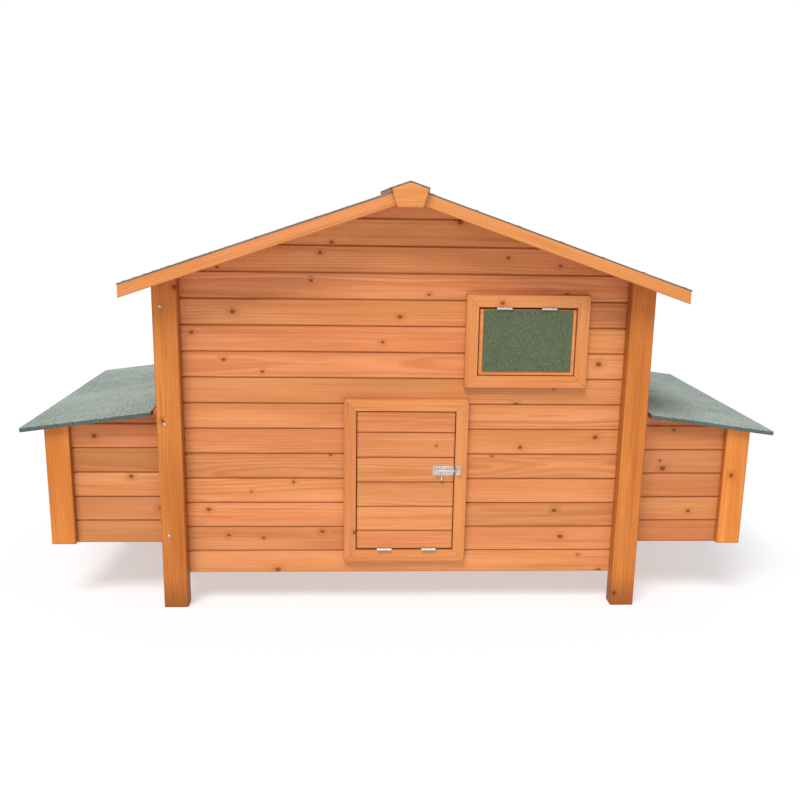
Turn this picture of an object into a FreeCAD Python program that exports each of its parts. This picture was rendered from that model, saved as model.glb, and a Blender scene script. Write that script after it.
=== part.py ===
import FreeCAD, Part
import Sketcher
import os
import re

# A wooden chicken coop on four legs, with a gabled felt roof, a drop-down pop door, a vent flap,
# a nest box on each side under a felted lid, a cleaning door and a droppings tray at the rear.
# Origin at the bottom centre, X across the front, front towards -Y, Z up, millimetres.

SIZES = {
    # legs and walls
    "body_width": 1250, "body_depth": 860, "leg_wide": 62, "leg_deep": 44, "leg_round": 4,
    "wall_recess": 32, "side_recess": 14, "board_thick": 12, "groove": 3, "board_gap": 0.4,
    "wall_bottom": 85, "first_board": 60, "board_pitch": 66.7,
    "batten_wide": 20, "batten_thick": 20, "plate_deep": 40, "plate_thick": 22,
    # roof
    "ridge_height": 1089, "roof_slope": 0.341, "roof_reach": 690, "roof_half_length": 490,
    "felt_thick": 2.3, "panel_thick": 9.5, "felt_lip": 2, "barge_deep": 30, "barge_thick": 18,
    "rafter_deep": 38, "rafter_thick": 20, "ridge_beam_deep": 60, "ridge_beam_thick": 20,
    "cap_reach": 46, "cap_thick": 9, "finial_thick": 15, "finial_foot": 30, "finial_drop": 44,
    # pop door, vent flap and rear door: openings inside their trims
    "trim_thick": 15, "trim_wide": 32, "trim_cover": 8, "edge_gap": 2,
    "door_left": -123, "door_right": 133, "door_bottom": 153, "door_top": 529, "door_line": 206,
    "vent_left": 183, "vent_right": 432, "vent_bottom": 624, "vent_top": 798, "flap_margin": 9,
    "rear_half": 272, "rear_bottom": 219.7, "rear_top": 604, "rear_line": 278.4,
    "ledge_wide": 30, "ledge_thick": 10, "ledge_inset": 16, "rear_ledge_inset": 40, "ledge_short": 5,
    "cleat_high": 18, "cleat_thick": 8, "cleat_pitch": 66.7, "wire_thick": 0.9, "wire_pitch": 12.7,
    "wire_stand": 1.9, "mesh_margin": 12, "upright_gap": 4,
    # butt hinges
    "knuckle_radius": 3.5, "knuckle_length": 38, "knuckle_stand": 3.3, "leaf_gap": 0.5,
    "leaf_thick": 1.5, "leaf_deep": 12, "leaf_tab": 4, "pin_radius": 1.5, "pin_play": 0.05,
    "knuckle_play": 0.4, "door_hinge_left": -48, "door_hinge_right": 69, "flap_hinge_left": 246,
    "flap_hinge_right": 359, "rear_hinge_inset": 70, "lid_hinge_place": 220,
    # tower bolts
    "bolt_height": 372, "rear_bolt_height": 412, "bolt_radius": 3, "bolt_length": 50,
    "bolt_plate_long": 54, "bolt_plate_high": 26, "bolt_plate_thick": 1.2, "staple_long": 8,
    "staple_high": 11, "staple_wall": 1.6, "staple_inset": 4, "bolt_lift": 4.2, "plate_back": 3,
    "bolt_back": 1.5, "stem_radius": 2.1, "knob_back": 34, "knob_drop": 22, "knob_radius": 4,
    "keeper_long": 11, "keeper_gap": 4, "keeper_staple_gap": 5.5,
    # floor, tray and perches
    "floor_bottom": 100, "floor_thick": 9, "bearer_wide": 40, "pan_half": 540, "pan_sheet": 1,
    "pan_rim": 25, "pan_lift": 0.4, "pan_front": 362, "tray_gap": 1, "tray_neck_radius": 7,
    "tray_knob_radius": 14, "tray_neck_out": 15.6, "tray_knob_out": 26,
    "perch_offset": 335, "perch_wide": 40, "perch_high": 30, "perch_bottom": 370, "perch_round": 7.5,
    "bracket_wide": 60, "bracket_high": 25,
    # nest boxes
    "nest_reach": 921, "nest_half": 383, "nest_bottom": 158, "nest_first": 60.5,
    "nest_pitch": 66.2, "nest_recess": 15, "post_wide": 62, "post_deep": 36,
    "nest_hole_near": 25, "nest_hole_far": 345, "divider_thick": 12, "nest_cleat": 20,
    "lid_reach": 978, "lid_half": 398, "lid_outer_height": 477, "lid_slope": 0.133,
    "lid_board": 10, "lid_felt": 2, "lid_lip_deep": 11, "rail_edge": 643,
    # screws through the legs
    "screw_head": 4.2, "screw_proud": 1.2, "screw_shank": 2, "screw_long": 62, "screw_inset": 20,
    "screw_low": 199, "screw_middle": 496, "screw_high": 795,
}

doc = FreeCAD.newDocument("chicken_coop")
sheet = doc.addObject("Spreadsheet::Sheet", "Sizes")
for row, (alias, value) in enumerate(SIZES.items(), start=1):
    sheet.set(f"A{row}", alias)
    sheet.set(f"B{row}", str(value))
    sheet.setAlias(f"B{row}", alias)
doc.recompute()

PARTS = []
UP = FreeCAD.Vector(0, 0, 1)
HALF_TURN = FreeCAD.Rotation(UP, 180)
WORD = re.compile(r"[a-z]\w+")


def bind(thing, place, text):
    """Drive one property from the sheet: every alias in the text is read from its cell."""
    def in_sheet(match):
        word = match.group()
        return "Sizes." + word if word in SIZES else word
    thing.setExpression(place, WORD.sub(in_sheet, text))


def bind_place(thing, across, along, height):
    """Drive a piece's position."""
    bind(thing, "Placement.Base.x", across)
    bind(thing, "Placement.Base.y", along)
    bind(thing, "Placement.Base.z", height)


def keep(thing, label):
    """Name a finished sub-part."""
    thing.Label = label
    PARTS.append(thing)
    return thing


# ---------------------------------------------------------------- plain boards and prisms

def block(name, x_span, y_span, z_span):
    """A squared piece between two positions on each axis."""
    box = doc.addObject("Part::Box", name)
    bind(box, "Length", f"({x_span[1]}) - ({x_span[0]})")
    bind(box, "Width", f"({y_span[1]}) - ({y_span[0]})")
    bind(box, "Height", f"({z_span[1]}) - ({z_span[0]})")
    bind_place(box, x_span[0], y_span[0], z_span[0])
    return box


def slope_board(name, x_span, near, far, y_span):
    """A board with plumb ends, its low and high edge given at each end; it may slope."""
    wedge = doc.addObject("Part::Wedge", name)
    spans = {"Y": x_span, "X": near, "X2": far, "Z": y_span, "Z2": y_span}
    for axis, span in spans.items():
        bind(wedge, axis + "min", span[0])
        bind(wedge, axis + "max", span[1])
    wedge.Placement.Rotation = FreeCAD.Rotation(FreeCAD.Vector(1, 1, 1), 240)
    return wedge


def rod(name, radius, length, start, direction):
    """A round bar from a start point along a direction."""
    bar = doc.addObject("Part::Cylinder", name)
    bind(bar, "Radius", radius)
    bind(bar, "Height", length)
    bar.Placement.Rotation = FreeCAD.Rotation(UP, FreeCAD.Vector(*direction))
    bind_place(bar, *start)
    return bar


def group(name, pieces, rotation=None):
    """Several separate solids held as one object."""
    compound = doc.addObject("Part::Compound", name)
    compound.Links = pieces
    if rotation:
        compound.Placement.Rotation = rotation
    return compound


def both_sides(name, pieces):
    """The pieces of the right side, and the same turned half round for the left side."""
    right = group(name + "_right", pieces)
    left = group(name + "_left", pieces, HALF_TURN)
    return group(name, [right, left])


# ---------------------------------------------------------------- sketched bodies

def new_body(name, turned=False):
    """A body that may hold several separate boards."""
    body = doc.addObject("PartDesign::Body", name)
    body.AllowCompound = True
    if turned:
        body.Placement.Rotation = HALF_TURN
    return body


def outline(body, name, plane, outlines, offset):
    """A sketch of closed outlines on an origin plane; the sheet places every corner."""
    sketch = body.newObject("Sketcher::SketchObject", name)
    base = [item for item in body.Origin.OriginFeatures if item.Role == plane][0]
    sketch.AttachmentSupport = [(base, "")]
    sketch.MapMode = "FlatFace"
    bind(sketch, "AttachmentOffset.Base.z", offset)
    for corners in outlines:
        first = sketch.GeometryCount
        count = len(corners)
        ring = [FreeCAD.Vector(10 * i, 10 * i * i, 0) for i in range(count)]
        for i in range(count):
            sketch.addGeometry(Part.LineSegment(ring[i], ring[(i + 1) % count]))
        for i, (across, height) in enumerate(corners):
            line = first + i
            follower = first + (i + 1) % count
            sketch.addConstraint(Sketcher.Constraint("Coincident", line, 2, follower, 1))
            for kind, text in (("DistanceX", across), ("DistanceY", height)):
                index = sketch.addConstraint(Sketcher.Constraint(kind, -1, 1, line, 1, 1.0))
                bind(sketch, f"Constraints[{index}]", text)
    return sketch


def plane_offset(plane, low, depth):
    """Where the sketch stands so that its normal runs over the span from low to low + depth."""
    if plane == "XZ_Plane":
        return f"-(({low}) + ({depth}))"
    return low


def pad(body, name, plane, outlines, low, depth):
    """Solids raised from the outlines, between low and low + depth along the plane's normal."""
    sketch = outline(body, name + "_outline", plane, outlines, plane_offset(plane, low, depth))
    feature = body.newObject("PartDesign::Pad", name)
    feature.Profile = sketch
    bind(feature, "Length", depth)
    body.Tip = feature
    doc.recompute()
    return feature


def pocket(body, name, plane, outlines, low, depth):
    """The outlines cut away between low and low + depth; the volume has to drop."""
    before = body.Shape.Volume
    sketch = outline(body, name + "_outline", plane, outlines, plane_offset(plane, low, depth))
    feature = body.newObject("PartDesign::Pocket", name)
    feature.Profile = sketch
    feature.Reversed = True
    bind(feature, "Length", depth)
    body.Tip = feature
    doc.recompute()
    if body.Shape.Volume > before - 1:
        raise RuntimeError(name + " cut nothing")
    return feature


def rectangle(left, right, bottom, top):
    """The four corners of an upright rectangle."""
    return [(left, bottom), (right, bottom), (right, top), (left, top)]


def boarded(body, plane, ends, outer, inner, groove, start, pitch, rows):
    """Horizontal V-jointed boards: one board's section is drawn, run out and repeated upwards."""
    low = f"({start}) + board_gap / 2"
    high = f"({start}) + ({pitch}) - board_gap / 2"
    section = [
        (inner, low), (inner, high),
        (f"({outer}) + ({groove})", high), (outer, f"({high}) - groove"),
        (outer, f"({low}) + groove"), (f"({outer}) + ({groove})", low),
    ]
    board = pad(body, body.Name + "_board", plane, [section], ends[0], f"({ends[1]}) - ({ends[0]})")
    pattern = body.newObject("PartDesign::LinearPattern", body.Name + "_rows")
    pattern.Originals = [board]
    axis = [item for item in body.Origin.OriginFeatures if item.Role == "Z_Axis"][0]
    pattern.Direction = (axis, [""])
    bind(pattern, "Length", f"({pitch}) * {rows - 1}")
    pattern.Occurrences = rows
    body.Tip = pattern
    doc.recompute()


# ---------------------------------------------------------------- places worked out from the sheet

HALF_WIDTH = "body_width / 2"
HALF_DEPTH = "body_depth / 2"
LEG_INSIDE = "(body_width / 2 - leg_wide)"
LEG_BACK = "(body_depth / 2 - leg_deep)"
WALL_FACE = "(body_depth / 2 - wall_recess)"
WALL_INSIDE = "(body_depth / 2 - wall_recess - board_thick)"
SIDE_FACE = "(body_width / 2 - side_recess)"
SIDE_INSIDE = "(body_width / 2 - side_recess - board_thick)"
TRIM_FACE = "(body_depth / 2 - wall_recess + trim_thick)"
STRETCH = "sqrt(1 + roof_slope * roof_slope)"
LID_STRETCH = "sqrt(1 + lid_slope * lid_slope)"
BOARD_START = "(wall_bottom + first_board - board_pitch)"
HINGE_ROOM = "2 * (leaf_gap + leaf_thick)"
LID_EDGE = f"(rail_edge + {HINGE_ROOM})"
FLOOR_TOP = "(floor_bottom + floor_thick)"
ROOF_BOARDS = "felt_thick + panel_thick"
UNDER_RAFTER = "felt_thick + panel_thick + rafter_deep"


def roof_line(across, depth="0"):
    """Height under the roof's felt at a distance from the ridge, depth measured square to it."""
    return f"(ridge_height - roof_slope * ({across}) - ({depth}) * {STRETCH})"


def lid_line(across, depth="0"):
    """Height under a nest lid's felt at a distance from the coop's middle."""
    return f"(lid_outer_height + lid_slope * (lid_reach - ({across})) - ({depth}) * {LID_STRETCH})"


def wall_line(number):
    """Height of a joint between two wall boards, counted from the top of the lowest board."""
    return f"(wall_bottom + first_board + {number - 1} * board_pitch)"


# ---------------------------------------------------------------- legs

def make_leg(label, turned, along):
    """A rounded leg whose top is cut to the slope of the roof."""
    leg = new_body(label, turned)
    section = rectangle("0", "leg_wide", "-leg_deep / 2", "leg_deep / 2")
    post = pad(leg, label + "_post", "XY_Plane", [section], "0", roof_line(LEG_INSIDE, ROOF_BOARDS))
    upright = []
    for number, edge in enumerate(leg.Shape.Edges, start=1):
        ends = [vertex.Point for vertex in edge.Vertexes]
        if abs(ends[0].z - ends[1].z) > 1:
            upright.append(f"Edge{number}")
    rounding = leg.newObject("PartDesign::Fillet", label + "_rounding")
    rounding.Base = (post, upright)
    bind(rounding, "Radius", "leg_round")
    leg.Tip = rounding
    doc.recompute()
    inner = roof_line(LEG_INSIDE, ROOF_BOARDS)
    outer = roof_line(HALF_WIDTH, ROOF_BOARDS)
    offcut = [("-1", inner), ("leg_wide + 1", f"{outer} - roof_slope"), ("leg_wide + 1", f"{inner} + 1"),
              ("-1", f"{inner} + 1")]
    pocket(leg, label + "_top_cut", "XZ_Plane", [offcut], "-leg_deep", "2 * leg_deep")
    across = f"-{LEG_INSIDE}" if turned else LEG_INSIDE
    bind_place(leg, across, along, "0")
    keep(leg, label)


LEG_LINE = "(body_depth / 2 - leg_deep / 2)"
make_leg("leg_front_left", True, f"-{LEG_LINE}")
make_leg("leg_front_right", False, f"-{LEG_LINE}")
make_leg("leg_rear_left", True, LEG_LINE)
make_leg("leg_rear_right", False, LEG_LINE)


# ---------------------------------------------------------------- walls

WALL_ROWS = 15
SIDE_ROWS = 13
OVERCUT = 5
BEYOND = f"(board_thick + {OVERCUT})"


def gable_offcuts():
    """What the roof's slopes and the level bottom edge take off a stack of full-width boards."""
    side = f"({HALF_WIDTH})"
    peak = roof_line("0", ROOF_BOARDS)
    foot = roof_line(side, ROOF_BOARDS)
    top = f"({peak} + 2 * board_pitch)"
    right = [("0", peak), (side, foot), (side, top), ("0", top)]
    left = [(f"-{side}", foot), ("-0.001", peak), ("-0.001", top), (f"-{side}", top)]
    below = rectangle(f"-{side}", side, "wall_bottom - board_pitch", "wall_bottom")
    return right, left, below


def hole(left, right, low_line, high_line):
    """An opening that ends on joints between boards."""
    return rectangle(left, right, wall_line(low_line), wall_line(high_line))


def make_gable_wall(label, sign, openings):
    """A boarded gable wall between two legs, with its openings on the board joints."""
    wall = new_body(label)
    outer = f"{sign}1 * {WALL_FACE}"
    inner = f"{sign}1 * {WALL_INSIDE}"
    groove = "groove" if sign == "-" else "-groove"
    ends = (f"-{LEG_INSIDE}", LEG_INSIDE)
    boarded(wall, "YZ_Plane", ends, outer, inner, groove, BOARD_START, "board_pitch", WALL_ROWS)
    low = f"({sign}1 * {WALL_FACE} - {BEYOND})"
    depth = f"2 * {BEYOND}"
    for number, shape in enumerate(gable_offcuts()):
        pocket(wall, f"{label}_offcut_{number}", "XZ_Plane", [shape], low, depth)
    for number, shape in enumerate(openings):
        pocket(wall, f"{label}_opening_{number}", "XZ_Plane", [shape], low, depth)
    keep(wall, label)


def make_side_wall(label, turned):
    """A boarded side wall between two legs, with a hole into each half of its nest box."""
    wall = new_body(label, turned)
    ends = (f"-{LEG_BACK}", LEG_BACK)
    boarded(wall, "XZ_Plane", ends, SIDE_FACE, SIDE_INSIDE, "-groove", BOARD_START, "board_pitch",
            SIDE_ROWS)
    inner_top = roof_line(SIDE_INSIDE, ROOF_BOARDS)
    outer_top = roof_line(SIDE_FACE, ROOF_BOARDS)
    far_top = f"({inner_top} + 2 * board_pitch)"
    above = [(SIDE_INSIDE, inner_top), (SIDE_FACE, outer_top), (SIDE_FACE, far_top), (SIDE_INSIDE, far_top)]
    below = rectangle(SIDE_INSIDE, SIDE_FACE, "wall_bottom - board_pitch", "wall_bottom")
    for number, shape in enumerate((above, below)):
        pocket(wall, f"{label}_offcut_{number}", "XZ_Plane", [shape], "-body_depth / 2", "body_depth")
    low, high = wall_line(2), wall_line(6)
    holes = [rectangle("nest_hole_near", "nest_hole_far", low, high),
             rectangle("-nest_hole_far", "-nest_hole_near", low, high)]
    pocket(wall, label + "_nest_holes", "YZ_Plane", holes, f"{SIDE_INSIDE} - {OVERCUT}",
           f"board_thick + 2 * {OVERCUT}")
    keep(wall, label)


POP_HOLE = ("door_left - trim_cover", "door_right + trim_cover")
VENT_HOLE = ("vent_left - trim_cover", "vent_right + trim_cover")
REAR_HOLE = ("-rear_half - trim_cover", "rear_half + trim_cover")
make_gable_wall("front_wall_boards", "-", [hole(*POP_HOLE, 1, 7), hole(*VENT_HOLE, 8, 11)])
TRAY_SLOT = rectangle(f"-{LEG_INSIDE} - 1", f"{LEG_INSIDE} + 1", "wall_bottom - 1", wall_line(1))
make_gable_wall("rear_wall_boards", "+", [hole(*REAR_HOLE, 2, 8), TRAY_SLOT])
make_side_wall("left_wall_boards", True)
make_side_wall("right_wall_boards", False)


# ---------------------------------------------------------------- battens, plates, rafters, floor

def batten(name, left, right, sign, foot):
    """An upright behind a gable wall, from the floor to the underside of the end rafter."""
    span = (f"-{WALL_INSIDE}", f"-{WALL_INSIDE} + batten_thick")
    if sign == "+":
        span = (f"{WALL_INSIDE} - batten_thick", WALL_INSIDE)
    reach = f"max(abs({left}); abs({right}))"
    return block(name, (left, right), span, (foot, roof_line(reach, UNDER_RAFTER)))


FREE_SIDE = "(upright_gap + batten_wide)"
UPRIGHTS = [
    batten("upright_1", f"-{LEG_INSIDE}", f"-{LEG_INSIDE} + batten_wide", "-", FLOOR_TOP),
    batten("upright_2", f"{POP_HOLE[0]} - {FREE_SIDE}", f"{POP_HOLE[0]} - upright_gap", "-", FLOOR_TOP),
    batten("upright_3", f"{POP_HOLE[1]} + upright_gap", f"{POP_HOLE[1]} + {FREE_SIDE}", "-", FLOOR_TOP),
    batten("upright_4", f"{LEG_INSIDE} - batten_wide", LEG_INSIDE, "-", FLOOR_TOP),
    batten("upright_5", f"-{LEG_INSIDE}", f"-{LEG_INSIDE} + batten_wide", "+", wall_line(1)),
    batten("upright_6", f"{REAR_HOLE[0]} - {FREE_SIDE}", f"{REAR_HOLE[0]} - upright_gap", "+",
           wall_line(1)),
    batten("upright_7", f"{REAR_HOLE[1]} + upright_gap", f"{REAR_HOLE[1]} + {FREE_SIDE}", "+",
           wall_line(1)),
    batten("upright_8", f"{LEG_INSIDE} - batten_wide", LEG_INSIDE, "+", wall_line(1)),
]
keep(group("wall_battens", UPRIGHTS), "wall_battens")

PLATE_TOP = roof_line(SIDE_INSIDE, UNDER_RAFTER)
wall_plate = block("wall_plate", (f"{SIDE_INSIDE} - plate_thick", SIDE_INSIDE),
                   (f"-{LEG_BACK}", LEG_BACK), (f"{PLATE_TOP} - plate_deep", PLATE_TOP))
keep(both_sides("wall_plates", [wall_plate]), "wall_plates")

RAFTER_PLACES = (f"-{WALL_INSIDE}", "-rafter_thick / 2", f"{WALL_INSIDE} - rafter_thick")
BEAM_SIDE = "ridge_beam_thick / 2"
rafters = []
for number, place in enumerate(RAFTER_PLACES):
    rafters.append(slope_board(
        f"rafter_{number}", (BEAM_SIDE, SIDE_INSIDE),
        (roof_line(BEAM_SIDE, UNDER_RAFTER), roof_line(BEAM_SIDE, ROOF_BOARDS)),
        (roof_line(SIDE_INSIDE, UNDER_RAFTER), roof_line(SIDE_INSIDE, ROOF_BOARDS)),
        (place, f"{place} + rafter_thick")))
keep(both_sides("rafters", rafters), "rafters")

BEAM_TOP = roof_line(BEAM_SIDE, ROOF_BOARDS)
ridge_beam = block("ridge_beam", (f"-{BEAM_SIDE}", BEAM_SIDE), (f"-{WALL_INSIDE}", WALL_INSIDE),
                   (f"{BEAM_TOP} - ridge_beam_deep", BEAM_TOP))
keep(ridge_beam, "ridge_beam")

FLOOR_BACK = f"({LEG_BACK} - tray_gap)"
floor_panel = block("floor_panel", (f"-{SIDE_INSIDE}", SIDE_INSIDE), (f"-{LEG_BACK}", FLOOR_BACK),
                    ("floor_bottom", FLOOR_TOP))
keep(floor_panel, "floor_panel")

BEARER_PLACES = (f"-{LEG_BACK}", "-bearer_wide / 2", f"{FLOOR_BACK} - bearer_wide")
bearers = [block(f"bearer_{number}", (f"-{SIDE_INSIDE}", SIDE_INSIDE),
                 (place, f"{place} + bearer_wide"), ("wall_bottom", "floor_bottom"))
           for number, place in enumerate(BEARER_PLACES)]
keep(group("floor_bearers", bearers), "floor_bearers")

perch = block("perch", ("perch_offset - perch_wide / 2", "perch_offset + perch_wide / 2"),
              (f"-{WALL_INSIDE}", WALL_INSIDE), ("perch_bottom", "perch_bottom + perch_high"))
perch_rounding = doc.addObject("Part::Fillet", "perch_rounding")
perch_rounding.Base = perch
doc.recompute()
LONG_EDGES = [number for number, edge in enumerate(perch.Shape.Edges, start=1)
              if edge.Length > SIZES["body_depth"] / 2]
perch_rounding.Edges = [(number, SIZES["perch_round"], SIZES["perch_round"]) for number in LONG_EDGES]
keep(both_sides("perches", [perch_rounding]), "perches")

BRACKET_PLACES = (f"-{WALL_INSIDE}", f"{WALL_INSIDE} - batten_thick")
brackets = [block(f"bracket_{number}",
                  ("perch_offset - bracket_wide / 2", "perch_offset + bracket_wide / 2"),
                  (place, f"{place} + batten_thick"), ("perch_bottom - bracket_high", "perch_bottom"))
            for number, place in enumerate(BRACKET_PLACES)]
keep(both_sides("perch_brackets", brackets), "perch_brackets")


# ---------------------------------------------------------------- roof

PANEL_END = "(roof_half_length - barge_thick)"


def roof_slab(name, reach, half_length, top, bottom):
    """One slope's sheet, plumb at the ridge and at the eave."""
    return slope_board(name, ("0", reach), (roof_line("0", bottom), roof_line("0", top)),
                       (roof_line(reach, bottom), roof_line(reach, top)),
                       (f"-({half_length})", half_length))


for side, rotation in (("left", HALF_TURN), ("right", None)):
    panel = roof_slab(f"{side}_sheathing", "roof_reach", PANEL_END, "felt_thick", ROOF_BOARDS)
    keep(group(f"{side}_roof_panel", [panel], rotation), f"{side}_roof_panel")
    felt = roof_slab(f"{side}_felt_sheet", "roof_reach + felt_lip", "roof_half_length", "0", "felt_thick")
    keep(group(f"{side}_roof_felt", [felt], rotation), f"{side}_roof_felt")

BARGE_PLACES = ("-roof_half_length", "roof_half_length - barge_thick")
barges = [slope_board(f"barge_{number}", ("0", "roof_reach"),
                      (roof_line("0", "felt_thick + barge_deep"), roof_line("0", "felt_thick")),
                      (roof_line("roof_reach", "felt_thick + barge_deep"),
                       roof_line("roof_reach", "felt_thick")),
                      (place, f"{place} + barge_thick"))
          for number, place in enumerate(BARGE_PLACES)]
keep(both_sides("barge_boards", barges), "barge_boards")

cap = roof_slab("cap_board", "cap_reach", "roof_half_length", "-cap_thick", "0")
keep(both_sides("ridge_cap_boards", [cap]), "ridge_cap_boards")
strip = roof_slab("cap_strip", "cap_reach", "roof_half_length + finial_thick + 1",
                  "-cap_thick - felt_thick", "-cap_thick")
keep(both_sides("ridge_cap_felt", [strip]), "ridge_cap_felt")

FINIAL_SHOULDER = "(cap_reach - 2)"
FINIAL_TOP = roof_line("0", "-cap_thick")
FINIAL_SIDE = roof_line(FINIAL_SHOULDER, "-cap_thick")
FINIAL_BOTTOM = f"({FINIAL_TOP} - finial_drop - roof_slope * {FINIAL_SHOULDER})"
finial_shape = [("-finial_foot", FINIAL_BOTTOM), ("finial_foot", FINIAL_BOTTOM),
                (FINIAL_SHOULDER, FINIAL_SIDE), ("0", FINIAL_TOP), (f"-{FINIAL_SHOULDER}", FINIAL_SIDE)]
finials = new_body("finials")
pad(finials, "front_finial", "XZ_Plane", [finial_shape], "-roof_half_length - finial_thick",
    "finial_thick")
pad(finials, "rear_finial", "XZ_Plane", [finial_shape], "roof_half_length", "finial_thick")
keep(finials, "finials")


# ---------------------------------------------------------------- trims and the vent's wire mesh

def make_trim(label, left, right, bottom, top, rear=False):
    """Four mitred boards round an opening, planted on the face of the wall."""
    outer = {"left": f"({left}) - trim_wide", "right": f"({right}) + trim_wide",
             "bottom": f"({bottom}) - trim_wide", "top": f"({top}) + trim_wide"}
    across = f"({outer['right']}) - ({outer['left']})"
    upright = f"({outer['top']}) - ({outer['bottom']})"
    members = ((across, "left", "bottom"), (upright, "right", "bottom"),
               (across, "right", "top"), (upright, "left", "top"))
    pieces = []
    for number, (length, side, level) in enumerate(members):
        member = doc.addObject("Part::Wedge", f"{label}_{number}")
        spans = {"X": ("0", length), "X2": ("trim_wide", f"({length}) - trim_wide"),
                 "Y": ("0", "trim_wide"), "Z": ("0", "trim_thick"), "Z2": ("0", "trim_thick")}
        for axis, span in spans.items():
            bind(member, axis + "min", span[0])
            bind(member, axis + "max", span[1])
        turn = FreeCAD.Rotation(FreeCAD.Vector(0, 1, 0), -90 * number)
        member.Placement.Rotation = turn * FreeCAD.Rotation(FreeCAD.Vector(1, 0, 0), 90)
        bind_place(member, outer[side], f"-{WALL_FACE}", outer[level])
        pieces.append(member)
    keep(group(label, pieces, HALF_TURN if rear else None), label)


make_trim("door_trim", "door_left", "door_right", "door_bottom", "door_top")
make_trim("window_trim", "vent_left", "vent_right", "vent_bottom", "vent_top")
make_trim("rear_door_trim", "-rear_half", "rear_half", "rear_bottom", "rear_top", rear=True)

MESH_WIDTH = "(vent_right - vent_left + 2 * mesh_margin)"
MESH_HEIGHT = "(vent_top - vent_bottom + 2 * mesh_margin)"
MESH_LEFT = "(vent_left - mesh_margin)"
MESH_BOTTOM = "(vent_bottom - mesh_margin)"
UPRIGHT_WIRES = 22
LEVEL_WIRES = 16
wires = []
for number in range(UPRIGHT_WIRES):
    start = (f"{MESH_LEFT} + {number} * wire_pitch", f"-{WALL_INSIDE} + wire_thick", MESH_BOTTOM)
    wires.append(rod(f"upright_wire_{number}", "wire_thick / 2", MESH_HEIGHT, start, (0, 0, 1)))
for number in range(LEVEL_WIRES):
    start = (MESH_LEFT, f"-{WALL_INSIDE} + wire_stand", f"{MESH_BOTTOM} + {number} * wire_pitch")
    wires.append(rod(f"level_wire_{number}", "wire_thick / 2", MESH_WIDTH, start, (1, 0, 0)))
keep(group("vent_mesh", wires), "vent_mesh")


# ---------------------------------------------------------------- butt hinges

def knuckle(name, start, length):
    """One rolled knuckle of a leaf, drilled for its pin, with the tab that joins it to the leaf."""
    barrel = rod(name + "_barrel", "knuckle_radius", length, (start, "0", "0"), (1, 0, 0))
    tab = block(name + "_tab", (start, f"({start}) + ({length})"), ("0", "leaf_tab"),
                ("-leaf_gap - leaf_thick", "-leaf_gap"))
    joined = doc.addObject("Part::MultiFuse", name + "_joined")
    joined.Shapes = [barrel, tab]
    return joined


def leaf(name, knuckles):
    """A leaf with its knuckles, lying below the pin's line; the pin runs along X at the origin."""
    plate = block(name + "_plate", ("-knuckle_length / 2", "knuckle_length / 2"),
                  ("leaf_tab", "leaf_deep"), ("-leaf_gap - leaf_thick", "-leaf_gap"))
    rolled = [knuckle(f"{name}_knuckle_{number}", *span) for number, span in enumerate(knuckles)]
    blank = doc.addObject("Part::MultiFuse", name + "_blank")
    blank.Shapes = [plate] + rolled
    bore = rod(name + "_bore", "pin_radius + pin_play", "knuckle_length + 2",
               ("-knuckle_length / 2 - 1", "0", "0"), (1, 0, 0))
    drilled = doc.addObject("Part::Cut", name)
    drilled.Base = blank
    drilled.Tool = bore
    return drilled


THIRD = "knuckle_length / 3"
OUTER_KNUCKLES = (("-knuckle_length / 2", f"{THIRD} - knuckle_play / 2"),
                  (f"{THIRD} / 2 + knuckle_play / 2", f"{THIRD} - knuckle_play / 2"))
MIDDLE_KNUCKLE = ((f"-{THIRD} / 2 + knuckle_play / 2", f"{THIRD} - knuckle_play"),)
fixed_leaf = leaf("fixed_leaf", OUTER_KNUCKLES)
moving_leaf = leaf("moving_leaf", MIDDLE_KNUCKLE)
hinge_pin = rod("hinge_pin", "pin_radius", "knuckle_length", ("-knuckle_length / 2", "0", "0"),
                (1, 0, 0))


def frame_of(along, into, towards):
    """The turn that lays a hinge's pin along one direction and its leaves into the wood."""
    return FreeCAD.Rotation(FreeCAD.Vector(*along), FreeCAD.Vector(*into), FreeCAD.Vector(*towards),
                            "XYZ")


def hinge_copy(name, source, rotation, place):
    """One more leaf or pin like the source, turned and put in its place."""
    copy = group(name, [source], rotation)
    bind_place(copy, *place)
    return copy


fixed_hardware = []


def make_hinges(label, along, into, towards, places):
    """Hinges on one line: fixed leaves and pins join the coop, moving leaves get their own node."""
    rotation = frame_of(along, into, towards)
    mirrored = frame_of([-value for value in along], into, [-value for value in towards])
    moving = []
    for number, place in enumerate(places):
        fixed_hardware.append(hinge_copy(f"{label}_fixed_{number}", fixed_leaf, rotation, place))
        fixed_hardware.append(hinge_copy(f"{label}_pin_{number}", hinge_pin, rotation, place))
        moving.append(hinge_copy(f"{label}_moving_{number}", moving_leaf, mirrored, place))
    return moving


HINGE_HALF = "(leaf_gap + leaf_thick)"
PIN_FRONT = f"(-{TRIM_FACE} - knuckle_stand)"
PIN_REAR = f"({TRIM_FACE} + knuckle_stand)"
DOOR_PIN = f"(door_bottom + {HINGE_HALF})"
FLAP_PIN = f"(vent_top - {HINGE_HALF})"
REAR_PIN = f"(rear_half - {HINGE_HALF})"
LID_PIN = f"(rail_edge + {HINGE_HALF})"
LID_PIN_HEIGHT = f"({lid_line(LID_PIN)} + knuckle_stand)"
LID_HINGES = ("-lid_hinge_place", "lid_hinge_place")

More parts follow.
